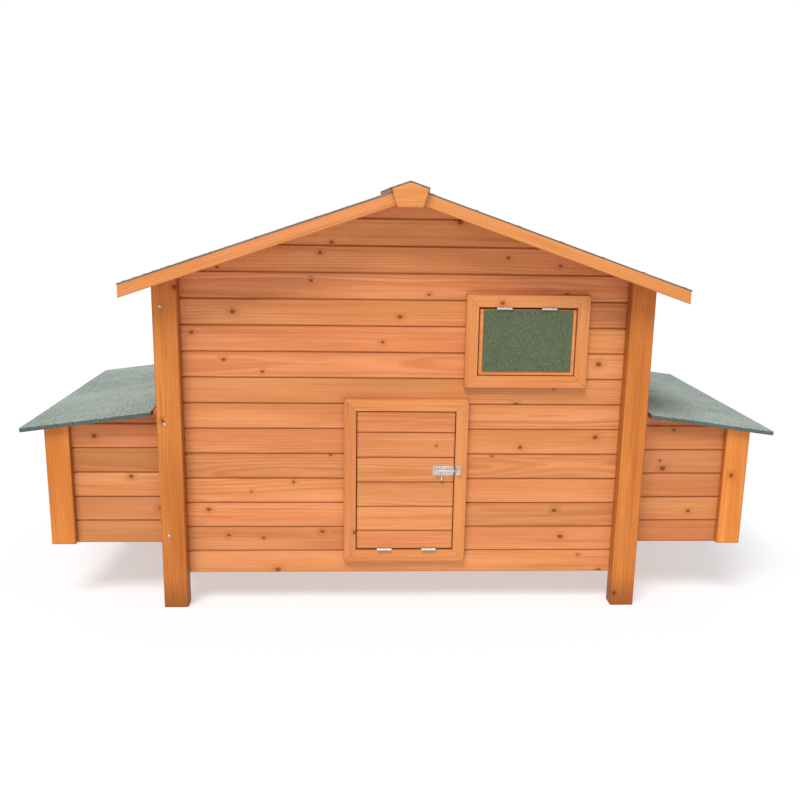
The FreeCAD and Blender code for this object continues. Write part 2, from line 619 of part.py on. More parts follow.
door_leaves = make_hinges("door_hinge", (1, 0, 0), (0, 1, 0), (0, 0, 1),
                          [(place, PIN_FRONT, DOOR_PIN)
                           for place in ("door_hinge_left", "door_hinge_right")])
keep(group("door_hinge_leaves", door_leaves), "door_hinge_leaves")
flap_leaves = make_hinges("flap_hinge", (-1, 0, 0), (0, 1, 0), (0, 0, -1),
                          [(place, PIN_FRONT, FLAP_PIN)
                           for place in ("flap_hinge_left", "flap_hinge_right")])
keep(group("flap_hinge_leaves", flap_leaves), "flap_hinge_leaves")
rear_leaves = make_hinges("rear_hinge", (0, 0, -1), (0, -1, 0), (-1, 0, 0),
                          [(REAR_PIN, PIN_REAR, f"({level})")
                           for level in ("rear_bottom + rear_hinge_inset",
                                         "rear_top - rear_hinge_inset")])
keep(group("rear_hinge_leaves", rear_leaves), "rear_hinge_leaves")
right_leaves = make_hinges("right_lid_hinge", (0, -1, 0), (0, 0, -1), (1, 0, 0),
                           [(LID_PIN, place, LID_PIN_HEIGHT) for place in LID_HINGES])
keep(group("right_lid_hinge_leaves", right_leaves), "right_lid_hinge_leaves")
left_leaves = make_hinges("left_lid_hinge", (0, 1, 0), (0, 0, -1), (-1, 0, 0),
                          [(f"-{LID_PIN}", place, LID_PIN_HEIGHT) for place in LID_HINGES])
keep(group("left_lid_hinge_leaves", left_leaves), "left_lid_hinge_leaves")
keep(group("fixed_hinge_leaves", fixed_hardware), "fixed_hinge_leaves")


# ---------------------------------------------------------------- tower bolts

BOLT_LINE = "(-bolt_plate_thick - bolt_lift)"


def staple(name, left, long, sole="bolt_plate_thick"):
    """A raised guide, drilled for the bolt, standing on its plate."""
    body = block(name + "_block", (left, f"({left}) + ({long})"),
                 (f"{BOLT_LINE} - bolt_radius - staple_wall", f"-({sole})"),
                 ("-staple_high / 2", "staple_high / 2"))
    bore = rod(name + "_bore", "bolt_radius + pin_play", f"({long}) + 2",
               (f"({left}) - 1", BOLT_LINE, "0"), (1, 0, 0))
    drilled = doc.addObject("Part::Cut", name)
    drilled.Base = body
    drilled.Tool = bore
    return drilled


plate = block("bolt_plate", ("-bolt_plate_long - plate_back", "-plate_back"), ("-bolt_plate_thick", "0"),
              ("-bolt_plate_high / 2", "bolt_plate_high / 2"))
near_staple = staple("near_staple", "-plate_back - staple_inset - staple_long", "staple_long")
far_staple = staple("far_staple", "-bolt_plate_long - plate_back + staple_inset", "staple_long")
keeper_plate = block("keeper_plate", ("keeper_gap", "keeper_gap + keeper_long"), ("-bolt_plate_thick", "0"),
                     ("-bolt_plate_high / 2", "bolt_plate_high / 2"))
keeper_staple = staple("keeper_staple", "keeper_staple_gap", "staple_long")
shaft = rod("bolt_shaft", "bolt_radius", "bolt_length", ("-bolt_length - bolt_back", BOLT_LINE, "0"),
            (1, 0, 0))
stem = rod("knob_stem", "stem_radius", "knob_drop", ("-knob_back", BOLT_LINE, "0"),
           (0, 0, -1))
knob = doc.addObject("Part::Sphere", "bolt_knob")
bind(knob, "Radius", "knob_radius")
bind_place(knob, "-knob_back", BOLT_LINE, "-knob_drop")
bolt = doc.addObject("Part::MultiFuse", "bolt")
bolt.Shapes = [shaft, stem, knob]

FRONT_BOLT = ("door_right", f"-{TRIM_FACE}", "bolt_height")
REAR_BOLT = ("-rear_half", TRIM_FACE, "rear_bolt_height")
keepers = []
for side, rotation, place in (("door", FreeCAD.Rotation(), FRONT_BOLT),
                              ("rear", HALF_TURN, REAR_BOLT)):
    guide = hinge_copy(f"{side}_bolt_guide", group(f"{side}_guide_parts",
                       [plate, near_staple, far_staple]), rotation, place)
    keep(guide, f"{side}_bolt_plate")
    keep(hinge_copy(f"{side}_bolt_rod", bolt, rotation, place), f"{side}_bolt_rod")
    keepers.append(hinge_copy(f"{side}_keeper", group(f"{side}_keeper_parts",
                   [keeper_plate, keeper_staple]), rotation, place))
keep(group("bolt_keepers", keepers), "bolt_keepers")


# ---------------------------------------------------------------- pop door, vent flap, rear door

LEDGE_SPAN = f"-{TRIM_FACE} + board_thick"
DOOR_EDGES = ("door_left + edge_gap", "door_right - edge_gap")
DOOR_LOW = f"(door_bottom + {HINGE_ROOM})"
DOOR_HIGH = "(door_top - edge_gap)"
DOOR_ROWS = 6


def make_boarded_door(label, edges, low, high, line, rows, turned=False):
    """A door of horizontal V-jointed boards, its lowest and highest board ripped to fit."""
    door = new_body(label, turned)
    boarded(door, "YZ_Plane", edges, f"-{TRIM_FACE}", LEDGE_SPAN, "groove",
            f"({line}) - board_pitch", "board_pitch", rows)
    below = rectangle(edges[0], edges[1], f"({line}) - board_pitch - 1", low)
    above = rectangle(edges[0], edges[1], high, f"({line}) + {rows} * board_pitch")
    for number, shape in enumerate((below, above)):
        pocket(door, f"{label}_rip_{number}", "XZ_Plane", [shape], f"-{TRIM_FACE} - {OVERCUT}",
               f"board_thick + 2 * {OVERCUT}")
    keep(door, label)


def ledges(name, places, low, high):
    """Upright ledges across the boards on a door's inner face."""
    return [block(f"{name}_{number}", (place, f"({place}) + ledge_wide"),
                  (LEDGE_SPAN, f"{LEDGE_SPAN} + ledge_thick"),
                  (f"{low} + ledge_short", f"{high} - ledge_short"))
            for number, place in enumerate(places)]


make_boarded_door("pop_door_boards", DOOR_EDGES, DOOR_LOW, DOOR_HIGH, "door_line", DOOR_ROWS)
LEFT_LEDGE = "(door_left + ledge_inset)"
RIGHT_LEDGE = "(door_right - ledge_inset - ledge_wide)"
keep(group("pop_door_ledges", ledges("pop_ledge", (LEFT_LEDGE, RIGHT_LEDGE), DOOR_LOW, DOOR_HIGH)),
     "pop_door_ledges")
cleats = [block(f"cleat_{number}", (f"{LEFT_LEDGE} + ledge_wide", RIGHT_LEDGE),
                (LEDGE_SPAN, f"{LEDGE_SPAN} + cleat_thick"),
                (f"door_line + {number - 0.5} * cleat_pitch - cleat_high / 2",
                 f"door_line + {number - 0.5} * cleat_pitch + cleat_high / 2"))
          for number in range(1, DOOR_ROWS)]
keep(group("ramp_cleats", cleats), "ramp_cleats")

FLAP_SIDES = ("vent_left + edge_gap", "vent_right - edge_gap")
FLAP_LEVELS = ("vent_bottom + edge_gap", f"vent_top - {HINGE_ROOM}")
flap = block("flap_board", FLAP_SIDES, (f"-{TRIM_FACE}", LEDGE_SPAN), FLAP_LEVELS)
keep(flap, "flap_board")
flap_felt = block("flap_felt", (f"{FLAP_SIDES[0]} + flap_margin", f"{FLAP_SIDES[1]} - flap_margin"),
                  (f"-{TRIM_FACE} - lid_felt", f"-{TRIM_FACE}"),
                  (f"{FLAP_LEVELS[0]} + flap_margin", f"{FLAP_LEVELS[1]} - edge_gap"))
keep(flap_felt, "flap_felt")

REAR_EDGES = (f"-rear_half + {HINGE_ROOM}", "rear_half - edge_gap")
REAR_LEVELS = ("(rear_bottom + edge_gap)", "(rear_top - edge_gap)")
make_boarded_door("rear_door_boards", REAR_EDGES, *REAR_LEVELS, "rear_line", DOOR_ROWS, turned=True)
REAR_LEDGES = ("-rear_half + rear_ledge_inset", "-ledge_wide / 2",
               "rear_half - rear_ledge_inset - ledge_wide")
rear_ledges = ledges("rear_ledge", REAR_LEDGES, *REAR_LEVELS)
keep(group("rear_door_ledges", rear_ledges, HALF_TURN), "rear_door_ledges")


# ---------------------------------------------------------------- droppings tray

PAN_BOTTOM = f"({FLOOR_TOP} + pan_lift)"
PAN_BACK = WALL_INSIDE
PAN_LEVELS = (f"{PAN_BOTTOM} + pan_sheet", f"{PAN_BOTTOM} + pan_rim")
pan_parts = [
    block("pan_base", ("-pan_half", "pan_half"), ("-pan_front", PAN_BACK),
          (PAN_BOTTOM, f"{PAN_BOTTOM} + pan_sheet")),
    block("pan_left", ("-pan_half", "-pan_half + pan_sheet"), ("-pan_front", PAN_BACK), PAN_LEVELS),
    block("pan_right", ("pan_half - pan_sheet", "pan_half"), ("-pan_front", PAN_BACK), PAN_LEVELS),
    block("pan_near", ("-pan_half + pan_sheet", "pan_half - pan_sheet"),
          ("-pan_front", "-pan_front + pan_sheet"), PAN_LEVELS),
    block("pan_far", ("-pan_half + pan_sheet", "pan_half - pan_sheet"),
          (f"{PAN_BACK} - pan_sheet", PAN_BACK), PAN_LEVELS),
]
keep(group("tray_pan", pan_parts), "tray_pan")
tray_front = block("tray_plank", (f"-{LEG_INSIDE} + edge_gap", f"{LEG_INSIDE} - edge_gap"),
                   (WALL_INSIDE, WALL_FACE), ("wall_bottom + tray_gap / 2", f"{wall_line(1)} - tray_gap"))
keep(tray_front, "tray_front")
tray_neck = rod("tray_neck", "tray_neck_radius", "tray_neck_out",
                ("0", WALL_FACE, "wall_bottom + first_board / 2"), (0, 1, 0))
tray_grip = rod("tray_grip", "tray_knob_radius", "tray_knob_out - tray_neck_out",
                ("0", f"{WALL_FACE} + tray_neck_out", "wall_bottom + first_board / 2"),
                (0, 1, 0))
tray_knob = doc.addObject("Part::MultiFuse", "tray_knob")
tray_knob.Shapes = [tray_neck, tray_grip]
keep(tray_knob, "tray_knob")


# ---------------------------------------------------------------- nest boxes

LID_TOTAL = "(lid_board + lid_felt)"
NEST_FACE = "(nest_half - nest_recess)"
NEST_INSIDE = "(nest_half - nest_recess - board_thick)"
NEST_OUTER = "(nest_reach - nest_recess)"
NEST_OUTER_IN = "(nest_reach - nest_recess - board_thick)"
POST_INSIDE = "(nest_reach - post_wide)"
POST_BACK = "(nest_half - post_deep)"
NEST_START = "(nest_bottom + nest_first - nest_pitch)"
NEST_ROWS = 6
NEST_FLOOR_TOP = "(nest_bottom + floor_thick)"

posts = []
for number, span in enumerate((("-nest_half", f"-{POST_BACK}"), (POST_BACK, "nest_half"))):
    posts.append(slope_board(f"nest_post_{number}", (POST_INSIDE, "nest_reach"),
                             ("nest_bottom", lid_line(POST_INSIDE, LID_TOTAL)),
                             ("nest_bottom", lid_line("nest_reach", LID_TOTAL)), span))
CLEAT_END = f"({SIDE_FACE} + nest_cleat)"
for number, span in enumerate(((f"-{NEST_INSIDE}", f"-{NEST_INSIDE} + nest_cleat"),
                               (f"{NEST_INSIDE} - nest_cleat", NEST_INSIDE))):
    posts.append(slope_board(f"nest_cleat_{number}", (SIDE_FACE, CLEAT_END),
                             (NEST_FLOOR_TOP, lid_line(SIDE_FACE, LID_TOTAL)),
                             (NEST_FLOOR_TOP, lid_line(CLEAT_END, LID_TOTAL)), span))
keep(both_sides("nest_posts", posts), "nest_posts")


def lid_offcut(left, right):
    """What the lid's underside takes off the boards below it."""
    top = f"({lid_line(left)} + nest_pitch)"
    return [(left, lid_line(left, LID_TOTAL)), (right, lid_line(right, LID_TOTAL)), (right, top),
            (left, top)]


def make_nest_walls(name, turned):
    """The boarded front, rear and outer walls of one nest box."""
    walls = []
    for side, outer, inner, groove in (
            ("front", f"-{NEST_FACE}", f"-{NEST_INSIDE}", "groove"),
            ("rear", NEST_FACE, NEST_INSIDE, "-groove")):
        wall = new_body(f"{name}_{side}", turned)
        ends = (SIDE_FACE, POST_INSIDE)
        boarded(wall, "YZ_Plane", ends, outer, inner, groove, NEST_START, "nest_pitch", NEST_ROWS)
        above = lid_offcut(SIDE_FACE, POST_INSIDE)
        below = rectangle(SIDE_FACE, POST_INSIDE, f"{NEST_START} - 1", "nest_bottom")
        for number, shape in enumerate((above, below)):
            pocket(wall, f"{name}_{side}_offcut_{number}", "XZ_Plane", [shape], "-nest_half",
                   "2 * nest_half")
        walls.append(wall)
    wall = new_body(f"{name}_outer", turned)
    ends = (f"-{POST_BACK}", POST_BACK)
    boarded(wall, "XZ_Plane", ends, NEST_OUTER, NEST_OUTER_IN, "-groove", NEST_START, "nest_pitch",
            NEST_ROWS)
    above = lid_offcut(NEST_OUTER_IN, NEST_OUTER)
    below = rectangle(NEST_OUTER_IN, NEST_OUTER, f"{NEST_START} - 1", "nest_bottom")
    for number, shape in enumerate((above, below)):
        pocket(wall, f"{name}_outer_offcut_{number}", "XZ_Plane", [shape], "-nest_half",
               "2 * nest_half")
    walls.append(wall)
    return walls


for side, turned in (("left", True), ("right", False)):
    keep(group(f"{side}_nest_boards", make_nest_walls(f"{side}_nest", turned)), f"{side}_nest_boards")

floor_shape = []
for sign in ("-", ""):
    edge = [(SIDE_FACE, f"{sign}{NEST_INSIDE}"), (POST_INSIDE, f"{sign}{NEST_INSIDE}"),
            (POST_INSIDE, f"{sign}{POST_BACK}"), (NEST_OUTER_IN, f"{sign}{POST_BACK}")]
    floor_shape += edge if sign == "-" else edge[::-1]
nest_floor = new_body("nest_floor")
pad(nest_floor, "nest_floor_sheet", "XY_Plane", [floor_shape], "nest_bottom", "floor_thick")
keep(both_sides("nest_floors", [nest_floor]), "nest_floors")

divider = slope_board("divider", (SIDE_FACE, NEST_OUTER_IN),
                      (NEST_FLOOR_TOP, lid_line(SIDE_FACE, LID_TOTAL)),
                      (NEST_FLOOR_TOP, lid_line(NEST_OUTER_IN, LID_TOTAL)),
                      ("-divider_thick / 2", "divider_thick / 2"))
keep(both_sides("nest_dividers", [divider]), "nest_dividers")

rail = slope_board("hinge_rail", (SIDE_FACE, "rail_edge"),
                   (lid_line(SIDE_FACE, LID_TOTAL), lid_line(SIDE_FACE)),
                   (lid_line("rail_edge", LID_TOTAL), lid_line("rail_edge")),
                   ("-nest_half", "nest_half"))
keep(both_sides("hinge_rails", [rail]), "hinge_rails")


def lid_slab(name, x_span, top, bottom, y_span):
    """A flat piece lying in the slope of the lid."""
    return slope_board(name, x_span, (lid_line(x_span[0], bottom), lid_line(x_span[0], top)),
                       (lid_line(x_span[1], bottom), lid_line(x_span[1], top)), y_span)


for side, rotation in (("left", HALF_TURN), ("right", None)):
    tip = "(lid_reach - lid_felt)"
    edge = "(lid_half - lid_felt)"
    panel = lid_slab(f"{side}_lid_panel", (LID_EDGE, tip), "lid_felt", LID_TOTAL, (f"-{edge}", edge))
    keep(group(f"{side}_lid_board", [panel], rotation), f"{side}_lid_board")
    felt_parts = [
        lid_slab(f"{side}_lid_sheet", (LID_EDGE, tip), "0", "lid_felt", (f"-{edge}", edge)),
        lid_slab(f"{side}_lid_near_lip", (LID_EDGE, "lid_reach"), "0", "lid_lip_deep",
                 ("-lid_half", f"-{edge}")),
        lid_slab(f"{side}_lid_far_lip", (LID_EDGE, "lid_reach"), "0", "lid_lip_deep",
                 (edge, "lid_half")),
        lid_slab(f"{side}_lid_tip_lip", (tip, "lid_reach"), "0", "lid_lip_deep", (f"-{edge}", edge)),
    ]
    keep(group(f"{side}_lid_felt", felt_parts, rotation), f"{side}_lid_felt")


# ---------------------------------------------------------------- screws through the legs

def screw(name, face, inwards):
    """A screw standing slightly proud of a leg's face and driven into the wall behind it."""
    head_start = [f"({value}) - {step} * screw_proud" for value, step in zip(face, inwards)]
    head = rod(name + "_head", "screw_head", "screw_proud", head_start, inwards)
    shank = rod(name + "_shank", "screw_shank", "screw_long", face, inwards)
    joined = doc.addObject("Part::MultiFuse", name)
    joined.Shapes = [head, shank]
    return joined


SCREW_WALL = "(body_depth / 2 - wall_recess - board_thick / 2)"
SCREW_SIDE = "(body_width / 2 - screw_inset)"
screws = []
for number, level in enumerate(("screw_low", "screw_middle", "screw_high")):
    faces = (((f"-{SCREW_SIDE}", f"-{HALF_DEPTH}", level), (0, 1, 0)),
             ((HALF_WIDTH, f"-{SCREW_WALL}", level), (-1, 0, 0)),
             ((SCREW_SIDE, HALF_DEPTH, level), (0, -1, 0)),
             ((f"-{HALF_WIDTH}", SCREW_WALL, level), (1, 0, 0)))
    for corner, (face, inwards) in enumerate(faces):
        screws.append(screw(f"screw_{number}_{corner}", face, inwards))
keep(group("leg_screws", screws), "leg_screws")


# ---------------------------------------------------------------- checks and files

doc.recompute()
for item in doc.Objects:
    if "Invalid" in item.State or "Error" in item.State:
        raise RuntimeError(f"{item.Name} did not build: {item.State}")
for part in PARTS:
    if part.Shape.isNull() or not part.Shape.isValid() or not part.Shape.Solids:
        raise RuntimeError(part.Label + " has no sound solid")
os.makedirs("parts", exist_ok=True)
for part in PARTS:
    part.Shape.exportStep(f"parts/{part.Label}.step")
    print(part.Label, len(part.Shape.Solids), round(part.Shape.Volume))
print(len(PARTS), "sub-parts")
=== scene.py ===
import math
import random

import bmesh
import bpy
from mathutils import Matrix, Vector, noise


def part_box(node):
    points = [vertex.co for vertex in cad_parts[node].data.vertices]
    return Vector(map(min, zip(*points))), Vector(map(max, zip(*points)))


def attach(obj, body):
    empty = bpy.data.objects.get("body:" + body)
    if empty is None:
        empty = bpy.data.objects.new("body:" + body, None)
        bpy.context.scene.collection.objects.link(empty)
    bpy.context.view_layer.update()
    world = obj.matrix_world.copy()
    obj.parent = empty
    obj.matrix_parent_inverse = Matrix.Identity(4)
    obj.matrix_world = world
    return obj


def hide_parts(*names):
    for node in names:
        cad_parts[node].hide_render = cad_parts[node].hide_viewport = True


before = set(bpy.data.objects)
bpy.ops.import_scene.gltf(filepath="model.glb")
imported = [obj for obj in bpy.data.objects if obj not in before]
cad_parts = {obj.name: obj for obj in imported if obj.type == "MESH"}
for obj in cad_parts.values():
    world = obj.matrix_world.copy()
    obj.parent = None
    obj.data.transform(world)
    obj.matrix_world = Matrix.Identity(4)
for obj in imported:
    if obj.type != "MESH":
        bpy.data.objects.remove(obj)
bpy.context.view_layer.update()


# ------------------------------------------------------------------ ground, light and camera
# The coop stands on a plain pale floor, which glows a little so that its shadows stay light,
# under a broad key light high on the left, a white room all round and a wide lamp in front.
# The camera stands a little left of the middle and looks slightly down on the front.

def link(thing):
    """Put a new object into the scene."""
    bpy.context.scene.collection.objects.link(thing)
    return thing


def node(tree, kind, values=None, **settings):
    """One shader node, with its plain settings and the values of its sockets."""
    made = tree.nodes.new(kind)
    for name, value in settings.items():
        setattr(made, name, value)
    for socket, value in (values or {}).items():
        if isinstance(value, bpy.types.NodeSocket):
            tree.links.new(value, made.inputs[socket])
        else:
            made.inputs[socket].default_value = value
    return made


def surface(name):
    """A new material: the material, its tree and its main shader."""
    made = bpy.data.materials.new(name)
    made.use_nodes = True
    return made, made.node_tree, made.node_tree.nodes["Principled BSDF"]


def mix_colour(tree, amount, first, second):
    """A colour between two colours."""
    made = node(tree, "ShaderNodeMix", {"Factor": amount}, data_type="RGBA")
    for socket, value in zip((6, 7), (first, second)):
        if isinstance(value, bpy.types.NodeSocket):
            tree.links.new(value, made.inputs[socket])
        else:
            made.inputs[socket].default_value = value
    return made.outputs[2]


FLOOR_SIZE = 60.0
floor_mesh = bmesh.new()
bmesh.ops.create_grid(floor_mesh, x_segments=4, y_segments=4, size=FLOOR_SIZE / 2)
floor_data = bpy.data.meshes.new("ground")
floor_mesh.to_mesh(floor_data)
floor_mesh.free()
ground = link(bpy.data.objects.new("ground", floor_data))
paper, tree, shader = surface("pale_paper")
clouds = node(tree, "ShaderNodeTexNoise", {"Scale": 0.6, "Detail": 2.0})
PAPER_GREYS = ((0.43, 0.437, 0.45, 1), (0.45, 0.455, 0.465, 1))
PAPER_GLOW = 0.48
tree.links.new(mix_colour(tree, clouds.outputs["Fac"], *PAPER_GREYS), shader.inputs["Base Color"])
shader.inputs["Roughness"].default_value = 0.9
shader.inputs["Emission Color"].default_value = (0.97, 0.975, 1.0, 1)
shader.inputs["Emission Strength"].default_value = PAPER_GLOW
ground.data.materials.append(paper)

SKY_LIGHT = 0.50
room = bpy.data.worlds.new("white_room")
room.use_nodes = True
tree = room.node_tree
walls = tree.nodes["Background"]
walls.inputs["Strength"].default_value = SKY_LIGHT
backdrop = node(tree, "ShaderNodeBackground", {"Color": (1, 1, 1, 1), "Strength": 1.0})
seen = node(tree, "ShaderNodeLightPath").outputs["Is Camera Ray"]
chosen = node(tree, "ShaderNodeMixShader", {0: seen, 1: walls.outputs[0], 2: backdrop.outputs[0]})
walls.inputs["Color"].default_value = (0.97, 0.985, 1.0, 1)
tree.links.new(chosen.outputs[0], tree.nodes["World Output"].inputs["Surface"])
bpy.context.scene.world = room

KEY_STRENGTH = 2.75
KEY_SPREAD = math.radians(28)
KEY_DIRECTION = Vector((0.46, 0.92, -1.62))
key = bpy.data.lights.new("key_light", "SUN")
key.energy = KEY_STRENGTH
key.angle = KEY_SPREAD
holder = link(bpy.data.objects.new("key_light", key))
holder.rotation_euler = KEY_DIRECTION.to_track_quat("-Z", "Y").to_euler()

LAMP_PLACE = Vector((0.8, -4.6, 1.6))
LAMP_AIM = Vector((0, 0, 0.5))
LAMP_WIDTH = 3.0
LAMP_WATTS = 15.0
front = bpy.data.lights.new("front_lamp", "AREA")
front.shape = "DISK"
front.size = LAMP_WIDTH
front.energy = LAMP_WATTS
holder = link(bpy.data.objects.new("front_lamp", front))
holder.location = LAMP_PLACE
holder.rotation_euler = (LAMP_AIM - LAMP_PLACE).to_track_quat("-Z", "Y").to_euler()

CAMERA_PLACE = Vector((-0.1217, -2.6225, 1.0518))
CAMERA_YAW = math.radians(-2.83)
CAMERA_PITCH = math.radians(-12.55)
CAMERA_ROLL = math.radians(0.95)
LENS_LENGTH = 40.0
SENSOR_WIDTH = 36.0
lens = bpy.data.cameras.new("camera")
lens.sensor_width = SENSOR_WIDTH
lens.lens = LENS_LENGTH
camera = link(bpy.data.objects.new("camera", lens))
looking = Matrix.Rotation(CAMERA_YAW, 4, "Z") @ Matrix.Rotation(math.pi / 2 + CAMERA_PITCH, 4, "X")
looking = looking @ Matrix.Rotation(CAMERA_ROLL, 4, "Z")
camera.matrix_world = Matrix.Translation(CAMERA_PLACE) @ looking
bpy.context.scene.camera = camera
bpy.context.scene.view_settings.view_transform = "Standard"


# ------------------------------------------------------------------ legs
# Four legs planed from softwood, their long edges rounded over, stained golden brown.
# Each leg is a little darker towards its foot.

def sums(tree, operation, first, second=0.0, third=0.0):
    """A number worked out from numbers or sockets."""
    made = node(tree, "ShaderNodeMath", {0: first, 1: second, 2: third}, operation=operation)
    return made.outputs[0]


def fade(tree, value, low, high, out_low=0.0, out_high=1.0, smooth=True):
    """A number carried from one range into another, held at its ends."""
    kind = "SMOOTHSTEP" if smooth else "LINEAR"
    made = node(tree, "ShaderNodeMapRange", {"Value": value, "From Min": low, "From Max": high,
                                             "To Min": out_low, "To Max": out_high},
                interpolation_type=kind)
    return made.outputs[0]


MM_PER_METRE = 1000.0
KNOT_CELLS = 7.5
KNOT_SHARE = 0.62
SMALL_KNOT, LARGE_KNOT = 2.0, 5.8
RING_STEP = 5.6
HEART_SHADE = 0.22
HALO_SHADE = 0.48


def stained_fir(name, pale, dark, latewood, knots=1.0, figure=1.0, shine=0.48, joint_stain_and_shade=0.0,
                foot_darkening=0.0):
    """Stained fir: growth rings cut by the board's faces, knots that push the rings aside,
    fine fibres, cloudy uptake of the stain, and stain gathered along edges and ends, darkened
    there also as painted shade."""
    made, tree, shader = surface(name)

    def attribute(which):
        read = node(tree, "ShaderNodeAttribute", attribute_name=which).outputs["Vector"]
        return node(tree, "ShaderNodeSeparateXYZ", {0: read}).outputs, read
    (along, across, through), place = attribute("grain")
    (seed, light, warmth), _ = attribute("board")
    (start_x, start_y, _), _ = attribute("start")
    (half_x, half_y, _), _ = attribute("half")

    # knots: some cells of the board hold a knot, an oval four to twelve millimetres across
    spot = node(tree, "ShaderNodeCombineXYZ",
                {"X": sums(tree, "MULTIPLY", along, 0.78), "Y": sums(tree, "ADD", across, seed)})
    cells = node(tree, "ShaderNodeTexVoronoi", {"Vector": spot.outputs[0], "Scale": KNOT_CELLS},
                 voronoi_dimensions="2D")
    cell = node(tree, "ShaderNodeSeparateColor", {0: cells.outputs["Color"]}).outputs
    wobble = node(tree, "ShaderNodeTexNoise", {"Vector": place, "Scale": 120.0, "Detail": 2.0})
    wobble = wobble.outputs["Fac"]
    distance = sums(tree, "MULTIPLY", cells.outputs["Distance"], MM_PER_METRE / KNOT_CELLS)
    distance = sums(tree, "MULTIPLY_ADD", wobble, 2.6, sums(tree, "SUBTRACT", distance, 1.3))
    present = sums(tree, "LESS_THAN", cell[0], KNOT_SHARE * knots)
    size = fade(tree, cell[1], 0.0, 1.0, SMALL_KNOT, LARGE_KNOT, smooth=False)
    near = sums(tree, "DIVIDE", distance, size)
    push = sums(tree, "MULTIPLY", fade(tree, near, 0.2, 4.4, 1.0, 0.0), present)
    core = sums(tree, "MULTIPLY", fade(tree, near, 0.70, 1.25, 1.0, 0.0), present)
    rim = sums(tree, "ABSOLUTE", sums(tree, "SUBTRACT", near, 0.95))
    rim = sums(tree, "MULTIPLY", fade(tree, rim, 0.0, 0.34, 1.0, 0.0), present)

    # rings round the log's heart, seen as long flames and lines on the faces
    drift = node(tree, "ShaderNodeCombineXYZ",
                 {"X": sums(tree, "MULTIPLY", along, 0.90),
                  "Y": sums(tree, "MULTIPLY_ADD", across, 6.0, seed),
                  "Z": sums(tree, "MULTIPLY", through, 6.0)}).outputs[0]
    slow = node(tree, "ShaderNodeTexNoise", {"Vector": drift, "Scale": 1.4, "Detail": 3.5,
                                             "Roughness": 0.42, "Distortion": 0.2}).outputs["Fac"]
    radius = sums(tree, "SQRT", sums(tree, "MULTIPLY_ADD", across, across,
                                     sums(tree, "MULTIPLY", through, through)))
    radius = sums(tree, "MULTIPLY_ADD", slow, 0.040, radius)
    radius = sums(tree, "MULTIPLY_ADD", push, 0.009, radius)
    ring = sums(tree, "FRACT", sums(tree, "MULTIPLY", radius, MM_PER_METRE / RING_STEP))
    band = sums(tree, "MULTIPLY", fade(tree, ring, 0.15, 0.86),
                fade(tree, ring, 0.88, 1.0, 1.0, 0.0))

    # fibres and long dark streaks drawn out along the board
    threads = node(tree, "ShaderNodeCombineXYZ",
                   {"X": sums(tree, "MULTIPLY", along, 0.026), "Y": sums(tree, "ADD", across, seed),
                    "Z": through}).outputs[0]
    fine = node(tree, "ShaderNodeTexNoise", {"Vector": threads, "Scale": 560.0, "Detail": 3.0,
                                             "Roughness": 0.66}).outputs["Fac"]
    broad = node(tree, "ShaderNodeTexNoise", {"Vector": threads, "Scale": 84.0, "Detail": 3.0,
                                              "Roughness": 0.55}).outputs["Fac"]
    cloud = node(tree, "ShaderNodeTexNoise", {"Vector": drift, "Scale": 2.4, "Detail": 3.0})
    cloud = cloud.outputs["Fac"]
    board_figure = fade(tree, sums(tree, "FRACT", sums(tree, "MULTIPLY", seed, 7.31)), 0.0, 1.0,
                        0.20 * figure, 0.56 * figure, smooth=False)

    colour = mix_colour(tree, fade(tree, cloud, 0.32, 0.70), pale, dark)
    colour = mix_colour(tree, sums(tree, "MULTIPLY", band, board_figure), colour, latewood)
    colour = mix_colour(tree, fade(tree, fine, 0.48, 0.80, 0.0, 0.34), colour, latewood)
    colour = mix_colour(tree, fade(tree, broad, 0.50, 0.70, 0.0, 0.46), colour, latewood)
    colour = mix_colour(tree, fade(tree, broad, 0.28, 0.42, 0.30, 0.0), colour,
                        tuple(min(1.0, 1.16 * value) for value in pale[:3]) + (1,))
    heart = tuple(HEART_SHADE * value for value in latewood[:3]) + (1,)
    halo = tuple(HALO_SHADE * value for value in latewood[:3]) + (1,)
    colour = mix_colour(tree, sums(tree, "MULTIPLY", push, 0.55), colour, latewood)
    colour = mix_colour(tree, sums(tree, "MULTIPLY", core, 0.92), colour, halo)
    colour = mix_colour(tree, sums(tree, "MULTIPLY", rim, 0.42), colour, heart)
